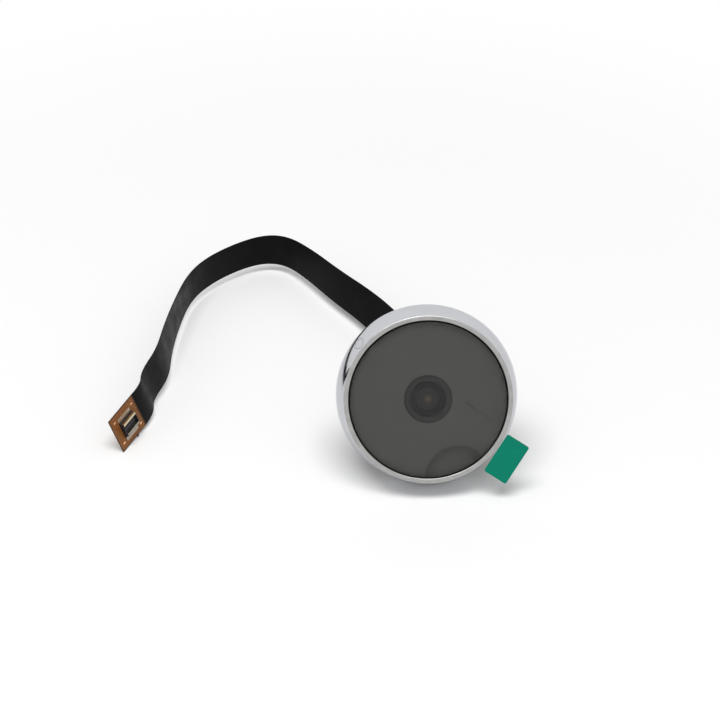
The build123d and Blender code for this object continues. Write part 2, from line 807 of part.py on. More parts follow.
# Contacts: each one lies on the board, passes under the shell's wall, climbs its inner face and
# laps over its top
contact_inner = shell_width / 2 - shell_wall_thickness
contact_outline = [
    (shell_width / 2 + contact_tail_length, 0),
    (shell_width / 2 + contact_tail_length, contact_thickness),
    (contact_inner, contact_thickness),
    (contact_inner, shell_height),
    (contact_inner + shell_wall_thickness * contact_lap_share, shell_height),
    (contact_inner + shell_wall_thickness * contact_lap_share, shell_height + contact_thickness),
    (contact_inner - contact_thickness, shell_height + contact_thickness),
    (contact_inner - contact_thickness, 0),
]
row_start = connector_length / 2 - contact_pitch * (contact_count - 1) / 2 - contact_width / 2
with BuildPart() as connector_contacts:
    for contact in range(contact_count):
        along = row_start + contact * contact_pitch
        contact_plane = Plane(
            origin=end_plane.from_local_coords((along, shell_offset_width, end_top)),
            x_dir=end_plane.y_dir,
            z_dir=end_plane.x_dir,
        )
        for side in (-1, 1):
            with BuildSketch(contact_plane):
                with BuildLine():
                    Polyline(*[(side * across, up) for across, up in contact_outline], close=True)
                make_face()
            extrude(amount=contact_width)
finish(connector_contacts, "connector_contacts")

# Socket shell on the connector board: a black frame with a low foot around a tongue, slotted for
# the contacts
shell_middle = (connector_length / 2, shell_offset_width)
with BuildPart() as connector_shell:
    with BuildSketch(end_plane.offset(end_top)):
        with Locations(shell_middle):
            Rectangle(shell_length, shell_width + shell_foot_width * 2)
    extrude(amount=shell_foot_height)
    with BuildSketch(end_plane.offset(end_top)):
        with Locations(shell_middle):
            Rectangle(shell_length, shell_width)
    extrude(amount=shell_height)
    with BuildSketch(end_plane.offset(end_top + shell_height)):
        with Locations(shell_middle):
            Rectangle(shell_length - shell_end_wall_thickness * 2, shell_width - shell_wall_thickness * 2)
    extrude(amount=shell_floor_thickness - shell_height, mode=Mode.SUBTRACT)
    with BuildSketch(end_plane.offset(end_top + shell_floor_thickness)):
        with Locations(shell_middle):
            Rectangle(shell_length - (shell_end_wall_thickness + tongue_end_gap) * 2, tongue_width)
    extrude(amount=shell_height - shell_floor_thickness - tongue_drop_height)
    add(connector_contacts.part, mode=Mode.SUBTRACT)
finish(connector_shell, "connector_shell")

# Four solder pads near the corners of the connector board
with BuildPart() as connector_pads:
    with BuildSketch(end_plane.offset(end_top)):
        with Locations((connector_length / 2, 0)):
            with GridLocations(pad_offset_length * 2, pad_offset_width * 2, 2, 2):
                Rectangle(pad_length, pad_width)
    extrude(amount=pad_height)
finish(connector_pads, "connector_pads")

# How clear the connector board's lowest corner is of the surface
print("connector above the surface", round(connector_board.part.bounding_box().min.Z - floor_z, 3))
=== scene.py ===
"""A peephole door camera: its looks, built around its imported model."""

import math

import bpy
from mathutils import Matrix, Vector


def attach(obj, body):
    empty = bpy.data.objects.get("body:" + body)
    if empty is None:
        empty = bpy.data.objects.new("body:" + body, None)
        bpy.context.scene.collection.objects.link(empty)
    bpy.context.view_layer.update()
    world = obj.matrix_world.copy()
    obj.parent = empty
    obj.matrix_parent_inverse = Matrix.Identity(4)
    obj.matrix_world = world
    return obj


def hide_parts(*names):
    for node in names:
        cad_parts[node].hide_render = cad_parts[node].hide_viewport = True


bl_info = {
    "name": "Peephole Door Camera",
    "version": (1, 0, 0),
    "blender": (4, 5, 0),
    "location": "View3D > Sidebar > Door Camera",
    "description": "Builds a chrome door camera with its flat cable, film and pull tab",
    "category": "Add Mesh",
}

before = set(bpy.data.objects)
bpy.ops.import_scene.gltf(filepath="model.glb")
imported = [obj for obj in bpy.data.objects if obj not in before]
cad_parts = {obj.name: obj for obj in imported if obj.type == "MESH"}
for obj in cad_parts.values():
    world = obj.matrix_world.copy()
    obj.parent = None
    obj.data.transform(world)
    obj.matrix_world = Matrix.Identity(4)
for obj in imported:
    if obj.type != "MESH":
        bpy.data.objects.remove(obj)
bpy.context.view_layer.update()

# The unit lies on the lower edge of its rim and on the end of its tube. Heights are counted along
# the optical axis from the face that lies against the door
RIM_RADIUS = 0.028
RIM_CONTACT = 0.0009
TUBE_RADIUS = 0.008
TUBE_CONTACT = -0.0394
PLUG_FACE = -0.041
TILT = math.atan2(RIM_RADIUS - TUBE_RADIUS, RIM_CONTACT - TUBE_CONTACT)
OPTICAL_AXIS = Vector((0, -math.cos(TILT), math.sin(TILT)))
OPTICAL_UP = Vector((0, math.sin(TILT), math.cos(TILT)))
OPTICAL = Matrix((Vector((1, 0, 0)), OPTICAL_UP, OPTICAL_AXIS)).transposed().to_4x4()
FLOOR_Z = RIM_CONTACT * math.sin(TILT) - RIM_RADIUS * math.cos(TILT)

# The floor: the middle of the unit and its cable, its gap under them and its side
UNIT_MIDDLE = Vector((-0.035, 0.045, 0))
FLOOR_DROP = 0.00002
FLOOR_SIDE = 6

# The photo's camera
EYE = Vector((-0.034528, -0.491999, 0.356294))
TARGET = Vector((-0.0205, 0, 0.013162))
FOCAL_LENGTH = 98.37
SENSOR_WIDTH = 36

# Heights along the optical axis and radii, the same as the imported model's: window and shell
WINDOW_REAR = 0.00992
WINDOW_FRONT = 0.0114
LIP_TOP = 0.0115
LIP_BLEND = 0.00012
LEDGE_TOP = 0.0097
LEDGE_BOTTOM = 0.0089
LEDGE_BORE = 0.0226
SHELL_BORE = 0.0236
PLATE_POCKET = 0.0260
SHELL_REAR = 0.0005

# Back plate and gasket, with the holes for the plate's screws
PLATE_REAR = 0.0015
PLATE_FRONT = 0.003
GASKET_BORE = 0.0092
GASKET_RADIUS = 0.0256
SCREW_CIRCLE = 0.0218
SCREW_COUNT = 3
SCREW_HOLE = 0.0018

# Light collar
COLLAR_REAR = 0.0060
COLLAR_FRONT = 0.0099
COLLAR_CHAMFER = 0.0003
COLLAR_LIP_DEPTH = 0.00035
COLLAR_LIP_ROOT = 0.0006

# Threaded tube
THREAD_FLANK = math.radians(30)
TUBE_BORE = 0.0067
TUBE_END = -0.04
TUBE_TIP = 0.0074
TUBE_TIP_SLOPE = 0.0001
TUBE_LAND = 0.0082
TUBE_LAND_START = -0.0003
TUBE_FLANGE = 0.0094
TUBE_FLANGE_START = 0.002
TUBE_POCKET = 0.0076
TUBE_POCKET_FLOOR = 0.00215

# Where the ring mark lies round the housing, how far up its side, and how deep it is sunk
MARK_ANGLE = math.radians(140.5)
MARK_SHARE = 0.66
MARK_SUNK_SHARE = 0.3

# Route of the free cable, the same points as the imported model's: x and y from the point where it
# leaves the plug, height of its middle over the surface, and its lean in degrees
FIRST_RUN = 0.006
FLAT_LEAN = 90
CABLE_ROUTE = [
    (-0.0025, 0.0138, 0.0052, 72),
    (-0.0075, 0.0228, 0.0076, 35),
    (-0.0150, 0.0353, 0.0088, 23),
    (-0.0265, 0.0503, 0.0091, 16),
    (-0.0355, 0.0643, 0.0091, 10),
    (-0.0435, 0.0738, 0.0091, 4),
    (-0.0520, 0.0753, 0.0091, -2),
    (-0.0620, 0.0698, 0.0091, -3),
    (-0.0720, 0.0603, 0.0091, -1),
    (-0.0780, 0.0493, 0.0091, 0),
    (-0.0815, 0.0323, 0.0091, 4),
    (-0.0835, 0.0183, 0.0090, 9),
    (-0.0845, 0.0048, 0.0087, 17),
    (-0.0890, -0.0067, 0.0080, 15),
    (-0.0885, -0.0132, 0.0075, 18),
    (-0.0910, -0.0182, 0.0070, 20),
]
CABLE_NICK_SHARE = 0.6
CONNECTOR_NODES = [
    "connector_board",
    "board_stiffener",
    "connector_shell",
    "connector_contacts",
    "connector_pads",
]

# The socket's upper wall, counted along the connector board, across it and up from its middle:
# the contacts that climb the outside of the wall, and the pale cap along its top, which is a
# painted highlight for the lit tops of the contacts
SOCKET_MIDDLE = 0.00725
CLIMB_COUNT = 14
CLIMB_PITCH = 0.0005
CLIMB_SIZE = (0.00026, 0.00012, 0.0009)
CLIMB_ROW = -0.00186
CLIMB_HEIGHT = 0.00112
CAP_SIZE = (0.0069, 0.00066, 0.00012)
CAP_ROW = -0.00151
CAP_HEIGHT = 0.00175

# How wide the board is to each side, how long it is, and how wide its dark rim
BOARD_HALF_WIDTH = 0.0060
BOARD_LENGTH = 0.0145
BOARD_RIM = 0.0005
BOARD_END_RIM = 0.0004

MERGE = 1e-7
CORNER_STEPS = 5
SMOOTH_ANGLE = math.radians(35)
FULL_TURN = 2 * math.pi


# Helpers for modelling


def clear_selection():
    """Leave edit mode and select nothing."""
    if bpy.context.object and bpy.context.object.mode != "OBJECT":
        bpy.ops.object.mode_set(mode="OBJECT")
    bpy.ops.object.select_all(action="DESELECT")


def choose(piece):
    """Select one piece and make it the active one."""
    clear_selection()
    piece.select_set(True)
    bpy.context.view_layer.objects.active = piece


def edit_all():
    """Edit the active piece with all of its mesh selected."""
    bpy.ops.object.mode_set(mode="EDIT")
    bpy.ops.mesh.select_all(action="SELECT")


def recalculate(piece):
    """Point all of a piece's faces outwards."""
    choose(piece)
    edit_all()
    bpy.ops.mesh.normals_make_consistent(inside=False)
    bpy.ops.object.mode_set(mode="OBJECT")


def lay_on_axis(piece):
    """Turn a piece that was built upright onto the optical axis, and put that into its mesh."""
    choose(piece)
    piece.matrix_world = OPTICAL
    bpy.ops.object.transform_apply(location=True, rotation=True, scale=True)


def soften(outline):
    """Round an outline's corners. Each point is radius, height and the corner's own radius."""
    points = []
    count = len(outline)
    for k, (radius, height, corner) in enumerate(outline):
        here = Vector((radius, height))
        if corner == 0:
            points.append(here)
            continue
        before = (Vector(outline[k - 1][:2]) - here).normalized()
        after = (Vector(outline[(k + 1) % count][:2]) - here).normalized()
        half = before.angle(after) / 2
        reach = corner / math.tan(half)
        middle = here + (before + after).normalized() * corner / math.sin(half)
        first = here + before * reach - middle
        last = here + after * reach - middle
        for step in range(CORNER_STEPS + 1):
            points.append(middle + first.slerp(last, step / CORNER_STEPS, first) * corner)
    return [(point.x, point.y) for point in points]


def start_outline(name, points):
    """A new mesh with one closed outline in the XZ plane, drawn by extruding a vertex."""
    clear_selection()
    bpy.ops.mesh.primitive_plane_add(size=0.001)
    piece = bpy.context.object
    piece.name = name
    piece.data.name = name
    edit_all()
    bpy.ops.mesh.merge(type="CENTER")
    bpy.ops.transform.translate(value=(points[0][0], 0, points[0][1]))
    here = points[0]
    for point in [*points[1:], points[0]]:
        bpy.ops.mesh.extrude_region_move(
            TRANSFORM_OT_translate={"value": (point[0] - here[0], 0, point[1] - here[1])}
        )
        here = point
    bpy.ops.mesh.select_all(action="SELECT")
    bpy.ops.mesh.remove_doubles(threshold=MERGE)
    bpy.ops.mesh.select_all(action="SELECT")
    return piece


def turn(name, outline, steps=192):
    """A piece spun about the optical axis from a closed outline of radius, height and corner."""
    piece = start_outline(name, soften(outline))
    bpy.ops.mesh.spin(steps=steps, angle=FULL_TURN, center=(0, 0, 0), axis=(0, 0, 1))
    bpy.ops.mesh.select_all(action="SELECT")
    bpy.ops.mesh.remove_doubles(threshold=MERGE)
    bpy.ops.mesh.normals_make_consistent(inside=False)
    bpy.ops.object.mode_set(mode="OBJECT")
    return piece


def washer(inner, outer, low, high, edge=0):
    """The outline of a flat ring, with its upper corners rounded."""
    return [(inner, low, 0), (outer, low, 0), (outer, high, edge), (inner, high, edge)]


def polish(piece, finish, body, slot, *nodes):
    """Dress a piece, lay it on the axis, smooth it, hang it on its body, hide the nodes it
    replaces.
    """
    dress(piece, finish)
    lay_on_axis(piece)
    bpy.ops.object.shade_smooth_by_angle(angle=SMOOTH_ANGLE)
    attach(piece, body)
    if nodes:
        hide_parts(*nodes)


# Helpers for finishes


def new_finish(name, colour, roughness, metallic=0.0, ior=1.5):
    """A material whose constants stand on the shader's own sockets."""
    finish = bpy.data.materials.new(name)
    finish.use_nodes = True
    shader = finish.node_tree.nodes["Principled BSDF"]
    shader.inputs["Base Color"].default_value = (*colour[:3], 1)
    shader.inputs["Roughness"].default_value = roughness
    shader.inputs["Metallic"].default_value = metallic
    shader.inputs["IOR"].default_value = ior
    finish.diffuse_color = (*colour[:3], 1)
    return finish


def shader_of(finish):
    """The material's own shader."""
    return finish.node_tree.nodes["Principled BSDF"]


def show(finish, name, value):
    """Set or link one of the shader's own sockets."""
    feed(finish, shader_of(finish).inputs[name], value)


def put(finish, kind, **inputs):
    """Add a node and set its inputs by name, with links where a socket is given."""
    node = finish.node_tree.nodes.new(kind)
    for name, value in inputs.items():
        feed(finish, node.inputs[name.replace("_", " ")], value)
    return node


def feed(finish, socket, value):
    """Set a socket to a value, or link it to another socket."""
    if isinstance(value, bpy.types.NodeSocket):
        finish.node_tree.links.new(value, socket)
    else:
        socket.default_value = value


def place(finish, turned=False, coordinate="Object"):
    """Where a pattern lies. Turned, its X and Y lie in the window's plane."""
    source = put(finish, "ShaderNodeTexCoord").outputs[coordinate]
    mapping = put(finish, "ShaderNodeMapping", Vector=source)
    if turned:
        mapping.inputs["Rotation"].default_value = (TILT - math.pi / 2, 0, 0)
    return mapping.outputs["Vector"]


def noise(finish, where, scale, detail=3.0):
    """Soft irregular values from 0 to 1."""
    node = put(finish, "ShaderNodeTexNoise", Vector=where, Scale=scale, Detail=detail)
    return node.outputs["Fac"]


def spread(finish, value, low, high, out_low=0.0, out_high=1.0, smooth=False):
    """Stretch values between low and high over a new range."""
    node = put(finish, "ShaderNodeMapRange", Value=value)
    node.interpolation_type = "SMOOTHSTEP" if smooth else "LINEAR"
    for name, limit in (
        ("From Min", low),
        ("From Max", high),
        ("To Min", out_low),
        ("To Max", out_high),
    ):
        node.inputs[name].default_value = limit
    return node.outputs["Result"]


def patches(finish, where, scale, low=0.0, high=1.0, detail=3.0):
    """Soft irregular patches between two values."""
    return spread(finish, noise(finish, where, scale, detail), 0.3, 0.7, low, high)


def blend(finish, share, first, second):
    """A colour between two, by share."""
    node = finish.node_tree.nodes.new("ShaderNodeMix")
    node.data_type = "RGBA"
    feed(finish, node.inputs[0], share)
    for socket, colour in ((node.inputs[6], first), (node.inputs[7], second)):
        linked = isinstance(colour, bpy.types.NodeSocket)
        feed(finish, socket, colour if linked else (*colour[:3], 1))
    return node.outputs[2]


def result(finish, kind, first, second=0.0):
    """One step of arithmetic on values."""
    node = finish.node_tree.nodes.new("ShaderNodeMath")
    node.operation = kind
    feed(finish, node.inputs[0], first)
    feed(finish, node.inputs[1], second)
    return node.outputs[0]


def vector_of(finish, kind, where, other=(0, 0, 0)):
    """One step of arithmetic on places."""
    node = put(finish, "ShaderNodeVectorMath", Vector=where)
    node.operation = kind
    node.inputs[1].default_value = other
    return node


def in_plane(finish, where):
    """Places without their height."""
    return vector_of(finish, "MULTIPLY", where, (1, 1, 0)).outputs["Vector"]


def past(finish, where, start, direction):
    """How far each place lies past a point, along a direction."""
    along = vector_of(finish, "DOT_PRODUCT", where, direction).outputs["Value"]
    return result(finish, "SUBTRACT", along, start.dot(direction))


def mottled(finish, where, colour, scale, low, high, detail=3.0):
    """A colour that varies in soft patches between two shares of itself."""
    colour = Vector(colour[:3])
    return blend(finish, patches(finish, where, scale, detail=detail), colour * low, colour * high)


def drift(finish, where, share, scale):
    """Let the colour drift a little over the surface."""
    colour = shader_of(finish).inputs["Base Color"].default_value
    show(finish, "Base Color", mottled(finish, where, colour, scale, 1 - share, 1 + share))


def scuff(finish, where, low, high, scale):
    """Let the roughness vary between two values."""
    show(finish, "Roughness", patches(finish, where, scale, low, high, 5.0))


def grain(finish, height, strength, depth):
    """Raise a fine relief from a height value."""
    bump = put(finish, "ShaderNodeBump", Height=height, Strength=strength, Distance=depth)
    show(finish, "Normal", bump.outputs["Normal"])


def moulded(name, colour, roughness, metallic=0.0, share=0.12, fineness=2500.0, strength=0.15):
    """A plain part's finish: drifting colour, varying gloss and a fine grain."""
    finish = new_finish(name, colour, roughness, metallic)
    where = place(finish)
    drift(finish, where, share, fineness / 12)
    scuff(finish, where, roughness * 0.8, min(1.0, roughness * 1.25), fineness / 8)
    grain(finish, noise(finish, where, fineness), strength, 0.0001)
    return finish


def even_finish(name, colour, roughness, tints, gloss, ior=1.5):
    """A finish in the window's plane, and where it lies.

    Tints are the share and scale of its drift, gloss is low, high and scale of its roughness.
    """
    finish = new_finish(name, colour, roughness, ior=ior)
    where = place(finish, turned=True)
    drift(finish, where, *tints)
    scuff(finish, where, *gloss)
    return finish, where


def dress(piece, finish):
    """Give a piece or a carried-over node one finish."""
    if piece.material_slots:
        for slot in piece.material_slots:
            slot.material = finish
    else:
        piece.data.materials.append(finish)


def dress_nodes(rows):
    """Give each carried-over node a plain finish: name, colour, roughness and how metallic."""
    for node, row in rows.items():
        dress(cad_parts[node], moulded(*row))


# Settings


def number(name, description, default, **kind):
    """A property that holds a number."""
    return bpy.props.FloatProperty(name=name, description=description, default=default, **kind)


def length(name, description, default):
    """A length in metres."""
    return number(name, description, default, precision=5, unit="LENGTH")


def colour(name, description, default):
    """A colour."""
    return bpy.props.FloatVectorProperty(
        name=name, description=description, default=default, size=3, subtype="COLOR", min=0, max=1
    )


def factor(name, description, default):
    """A share from 0 to 1."""
    return number(name, description, default, min=0, max=1, subtype="FACTOR")


class StageSettings(bpy.types.PropertyGroup):
    floor_colour: colour("Floor", "Colour of the floor", (0.96, 0.96, 0.96))
    sky_strength: number("Sky light", "Strength of the light from all around", 0.45)
    paper_start: length("White from", "Where the floor starts to run out into white", 0.11)
    paper_end: length("White at", "How far from the unit the floor is white", 0.32)
    lamp_power: number("Lamp", "Power of the softbox in watts", 21.0, unit="POWER")
    lamp_height: length("Lamp height", "Height of the softbox over the floor", 1.7)
    lamp_front: length("Lamp to the front", "How far in front of the unit the softbox is", 0.40)
    lamp_side: length("Lamp to the left", "How far to the left of the unit the softbox is", 0.16)
    lamp_width: length("Lamp width", "Width of the softbox", 1.4)
    lamp_depth: length("Lamp depth", "Depth of the softbox, front to back", 0.6)


class HousingSettings(bpy.types.PropertyGroup):
    chrome: colour("Chrome", "Colour of the plating", (0.60, 0.61, 0.63))
    # The lip is the same plating; its darker colour is painted shade
    lip_shade_tone: colour("Lip", "Colour of the satin lip", (0.38, 0.38, 0.37))
    roughness: factor("Roughness", "Roughness of the plating", 0.09)
    lip_radius: length("Lip radius", "Outer radius of the lip", 0.0258)
    bore_radius: length("Window bore", "Radius of the opening for the window", 0.02435)
    side_bulge: length("Side bulge", "How far the side wall bulges", 0.00045)
    edge: length("Edge", "Radius of the rolled edges", 0.0004)
    mark_radius: length("Mark radius", "Radius of the ring mark, round the side", 0.0017)
    mark_line: length("Mark line", "Half the width of the ring mark's line", 0.00014)
    mark_stretch: number("Mark stretch", "How much longer the mark is along the axis", 1.6)


class WindowSettings(bpy.types.PropertyGroup):
    smoke: colour("Smoke", "Colour of the smoked window", (0.016, 0.016, 0.015))
    opacity: factor("Opacity", "How much the window hides what lies behind it", 0.18)
    radius: length("Window radius", "Radius of the window", 0.02425)
    edge: length("Edge", "Radius of the window's front edge", 0.0002)
    border_width: length("Border", "Width of the black line round the window", 0.00042)
    panel: colour("Panel", "Colour of the panel behind the window", (0.102, 0.101, 0.093))
    print_hole: length("Print hole", "Radius of the clear hole in the print over the lens", 0.0074)


class LensSettings(bpy.types.PropertyGroup):
    barrel: colour("Barrel", "Colour of the lens barrel", (0.022, 0.022, 0.023))
    ring: colour("Ring", "Colour of the retaining ring", (0.026, 0.026, 0.027))
    collar: colour("Collar", "Colour of the light collar", (0.053, 0.053, 0.052))
    collar_inner: length("Collar bore", "Inner radius of the light collar's wall", 0.0061)
    collar_outer: length("Collar radius", "Outer radius of the light collar", 0.0076)
    collar_lip: length("Collar lip", "Inner radius of the light collar's lip", 0.0056)
    glass: colour("Glass", "Colour of the front glass", (0.033, 0.031, 0.031))
    # Painted highlights in the lens glass: the lighter rings and the warm glint in its middle
    painted_ring_glint: colour("Ring glints", "Colour of the rings in the glass", (0.048, 0.047, 0.045))
    glint: colour("Glint", "Colour of the glint in the middle", (0.12, 0.09, 0.06))
    ring_pitch: length("Ring pitch", "Distance from ring to ring in the glass", 0.0011)


class FilmSettings(bpy.types.PropertyGroup):
    haze: colour("Haze", "Colour of the film's haze", (0.62, 0.62, 0.59))
    haze_share: factor("Haze share", "How strong the haze is", 0.006)
    # The film's painted shade: the arc round the lifted patch and the line along the crease
    shade_share: factor("Lifted patch shade", "How dark the lifted patch is at its edge", 0.19)
    crease_shade_share: factor("Crease shade", "How dark the crease is", 0.6)
    radius: length("Film radius", "Radius of the film", 0.02385)
    lift: length("Lift", "How far the film stands off in the lifted patch", 0.00004)
    tab_colour: colour("Tab", "Colour of the pull tab", (0.0016, 0.205, 0.128))


class CableSettings(bpy.types.PropertyGroup):
    width: length("Width", "Width of the flat cable", 0.012)
    thickness: length("Thickness", "Thickness of the flat cable", 0.0003)
    cover: colour("Cover", "Colour of the cable's cover", (0.0056, 0.0057, 0.0064))
    roughness: factor("Roughness", "Roughness of the cable's cover", 0.42)


class ConnectorSettings(bpy.types.PropertyGroup):
    amber: colour("Board", "Colour of the amber board", (0.215, 0.078, 0.014))
    copper: colour("Pads", "Colour of the copper pads", (0.85, 0.48, 0.27))
    nickel: colour("Contacts", "Colour of the contacts", (0.62, 0.57, 0.47))
    gold: colour("Wall contacts", "Colour of the contacts on the socket's wall", (0.78, 0.50, 0.22))
    # The wall cap's colour is a painted highlight for the lit tops of the contacts
    pale_highlight: colour("Wall cap highlight", "Colour of the strip on the socket's wall", (0.72, 0.60, 0.40))


class TubeSettings(bpy.types.PropertyGroup):
    metal: colour("Metal", "Colour of the tube", (0.58, 0.58, 0.57))
    pitch: length("Pitch", "Pitch of the thread", 0.0015)
    depth: length("Depth", "Depth of the thread", 0.0005)
    thread_length: length("Thread length", "How far the thread runs from the tube's end", 0.033)


# Stage


def seen_rays(tree):
    """One for rays that show the background: straight, mirrored and through glass."""
    path = tree.nodes.new("ShaderNodeLightPath")
    seen = path.outputs["Is Camera Ray"]
    for ray in ("Is Glossy Ray", "Is Transmission Ray"):
        either = tree.nodes.new("ShaderNodeMath")
        either.operation = "MAXIMUM"
        tree.links.new(seen, either.inputs[0])
        tree.links.new(path.outputs[ray], either.inputs[1])
        seen = either.outputs[0]
    return seen


def paper_finish(sizes):
    """Pale paper that takes the shadow and runs out into a white background further off."""
    finish = new_finish("floor_paper", sizes.floor_colour, 0.9)
    show(finish, "Specular IOR Level", 0)
    tree = finish.node_tree
    reach = vector_of(finish, "DISTANCE", place(finish), UNIT_MIDDLE).outputs["Value"]
    far = spread(finish, reach, sizes.paper_start, sizes.paper_end, smooth=True)
    white = put(finish, "ShaderNodeEmission", Color=(1, 1, 1, 1), Strength=1.0)
    mix = put(finish, "ShaderNodeMixShader")
    feed(finish, mix.inputs[0], result(finish, "MULTIPLY", far, seen_rays(tree)))
    feed(finish, mix.inputs[1], shader_of(finish).outputs[0])
    feed(finish, mix.inputs[2], white.outputs[0])
    feed(finish, tree.nodes["Material Output"].inputs["Surface"], mix.outputs[0])
    return finish


class SCENE_OT_camera_stage(bpy.types.Operator):
    """Add the floor, the lights and the camera"""

    bl_idname = "door_camera.stage"
    bl_label = "Stage"

    def execute(self, context):
        sizes = context.scene.door_camera_stage
        context.scene.view_settings.view_transform = "Standard"
        clear_selection()
        bpy.ops.mesh.primitive_plane_add(size=FLOOR_SIDE, location=(0, 0, FLOOR_Z - FLOOR_DROP))
        floor = context.object
        floor.name = "floor"
        dress(floor, paper_finish(sizes))

        world = context.scene.world or bpy.data.worlds.new("studio")
        context.scene.world = world
        world.use_nodes = True
        tree = world.node_tree
        tree.nodes.clear()
        mix = tree.nodes.new("ShaderNodeMixShader")
        tree.links.new(seen_rays(tree), mix.inputs[0])
        for socket, strength in ((mix.inputs[1], sizes.sky_strength), (mix.inputs[2], 1)):
            light = tree.nodes.new("ShaderNodeBackground")
            light.inputs["Color"].default_value = (1, 1, 1, 1)
            light.inputs["Strength"].default_value = strength
            tree.links.new(light.outputs[0], socket)
        out = tree.nodes.new("ShaderNodeOutputWorld")
        tree.links.new(mix.outputs[0], out.inputs["Surface"])

        clear_selection()
        spot = Vector((-sizes.lamp_side, -sizes.lamp_front, FLOOR_Z + sizes.lamp_height))
        bpy.ops.object.light_add(type="AREA", location=spot)
        lamp = context.object
        lamp.rotation_euler = (math.atan2(-spot.y, spot.z), 0, 0)
        lamp.name = "softbox"
        lamp.data.energy = sizes.lamp_power
        lamp.data.shape = "RECTANGLE"
        lamp.data.size = sizes.lamp_width
        lamp.data.size_y = sizes.lamp_depth

        camera = bpy.data.objects.new("camera", bpy.data.cameras.new("camera"))
        context.scene.collection.objects.link(camera)
        camera.data.sensor_width = SENSOR_WIDTH
        camera.data.lens = FOCAL_LENGTH
        camera.location = EYE
        camera.rotation_euler = (TARGET - EYE).to_track_quat("-Z", "Y").to_euler()
        camera.data.clip_start = 0.01
        context.scene.camera = camera
        return {"FINISHED"}


# Cable and the socket pieces that it carries


def spline_through(name, points):
    """The points of a smooth spline that has these control points."""
    line = bpy.data.curves.new(name, "CURVE")
    line.dimensions = "3D"
    spline = line.splines.new("NURBS")
    spline.points.add(len(points) - 1)
    for knot, point in zip(spline.points, points):
        knot.co = (*point, 1)
    spline.order_u = 3
    spline.use_endpoint_u = True
    spline.resolution_u = 14
    holder = bpy.data.objects.new(name, line)
    bpy.context.scene.collection.objects.link(holder)
    bpy.context.view_layer.update()
    mesh = bpy.data.meshes.new_from_object(holder)
    found = [vertex.co.copy() for vertex in mesh.vertices]
    bpy.data.objects.remove(holder)
    bpy.data.curves.remove(line)
    bpy.data.meshes.remove(mesh)
    return found


def on_floor_route(x, y, z):
    """A point of the cable's route in the shared frame."""
    return Vector((x, (OPTICAL_AXIS * PLUG_FACE).y + y, FLOOR_Z + z))


def width_direction(heading, lean):
    """Which way the flat cable's width lies, for a lean in degrees."""
    left = Vector((0, 0, 1)).cross(heading).normalized()
    upright = heading.cross(left)
    return upright * math.cos(math.radians(lean)) - left * math.sin(math.radians(lean))


def connector_frame():
    """Where the board starts, which way it runs, which way its width lies and where it faces."""
    before, end = (on_floor_route(x, y, z) for x, y, z, _ in CABLE_ROUTE[-2:])
    along = (end - before).normalized()
    across = width_direction(along, CABLE_ROUTE[-1][3])
    return end, along, -across, across.cross(along)


def on_board(piece):
    """Take a piece modelled flat at the origin to the connector board."""
    end, along, down, face = connector_frame()
    for vertex in piece.data.vertices:
        x, y, z = vertex.co
        vertex.co = end + along * x + down * y + face * z
    recalculate(piece)
    bpy.ops.object.shade_smooth_by_angle(angle=SMOOTH_ANGLE)
    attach(piece, "camera")


def socket_bar(name, size, middle):
    """A bar with softened edges, given by its size and middle on the board."""
    clear_selection()
    bpy.ops.mesh.primitive_cube_add(size=1)
    bar = bpy.context.object
    bar.name = name
    bar.scale = size
    bpy.ops.object.transform_apply(location=False, rotation=False, scale=True)
    edit_all()
    bpy.ops.mesh.bevel(offset=min(size) / 4, segments=2)
    bpy.ops.object.mode_set(mode="OBJECT")
    for vertex in bar.data.vertices:
        vertex.co += Vector(middle)
    return bar


def wall_contacts(sizes):
    """The golden contacts that climb the outside of the socket's upper wall, as one piece."""
    first = SOCKET_MIDDLE - CLIMB_PITCH * (CLIMB_COUNT - 1) / 2
    contact = socket_bar("wall_contacts", CLIMB_SIZE, (first, CLIMB_ROW, CLIMB_HEIGHT))
    row = [contact]
    for k in range(1, CLIMB_COUNT):
        choose(contact)
        bpy.ops.object.duplicate(linked=False)
        row.append(bpy.context.object)
        for vertex in bpy.context.object.data.vertices:
            vertex.co.x += CLIMB_PITCH * k
    clear_selection()
    for copy in row:
        copy.select_set(True)
    bpy.context.view_layer.objects.active = contact
    bpy.ops.object.join()
    on_board(contact)
    dress(contact, moulded("contact_gilt", sizes.gold, 0.35, metallic=1.0, share=0.2))
    return contact


def highlight_cap(sizes):
    """The pale strip along the top of the socket's upper wall, painted as a highlight."""
    cap = socket_bar("highlight_cap", CAP_SIZE, (SOCKET_MIDDLE, CAP_ROW, CAP_HEIGHT))
    on_board(cap)
    # The cap's pale colour is a painted highlight for the lit tops of the contacts
    dress(cap, moulded("cap_pale_highlight", sizes.pale_highlight, 0.45, share=0.15, fineness=1200.0))
    return cap


def cable_finish(sizes):
    """Black cover film with faint lengthwise conductors under it."""
    finish = new_finish("cable_cover", sizes.cover, sizes.roughness, ior=1.15)
    where = place(finish, coordinate="UV")
    bands = put(finish, "ShaderNodeTexWave", Vector=where, Scale=11.0, Distortion=0.0)
    bands.bands_direction = "X"
    object_place = place(finish)
    drift(finish, object_place, 0.18, 160)
    scuff(finish, object_place, sizes.roughness * 0.8, sizes.roughness * 1.2, 220)
    ridges = result(finish, "MULTIPLY", bands.outputs["Fac"], 0.5)
    dust = result(finish, "MULTIPLY", noise(finish, object_place, 1500), 0.4)
    grain(finish, result(finish, "ADD", ridges, dust), 0.22, 0.00006)
    return finish


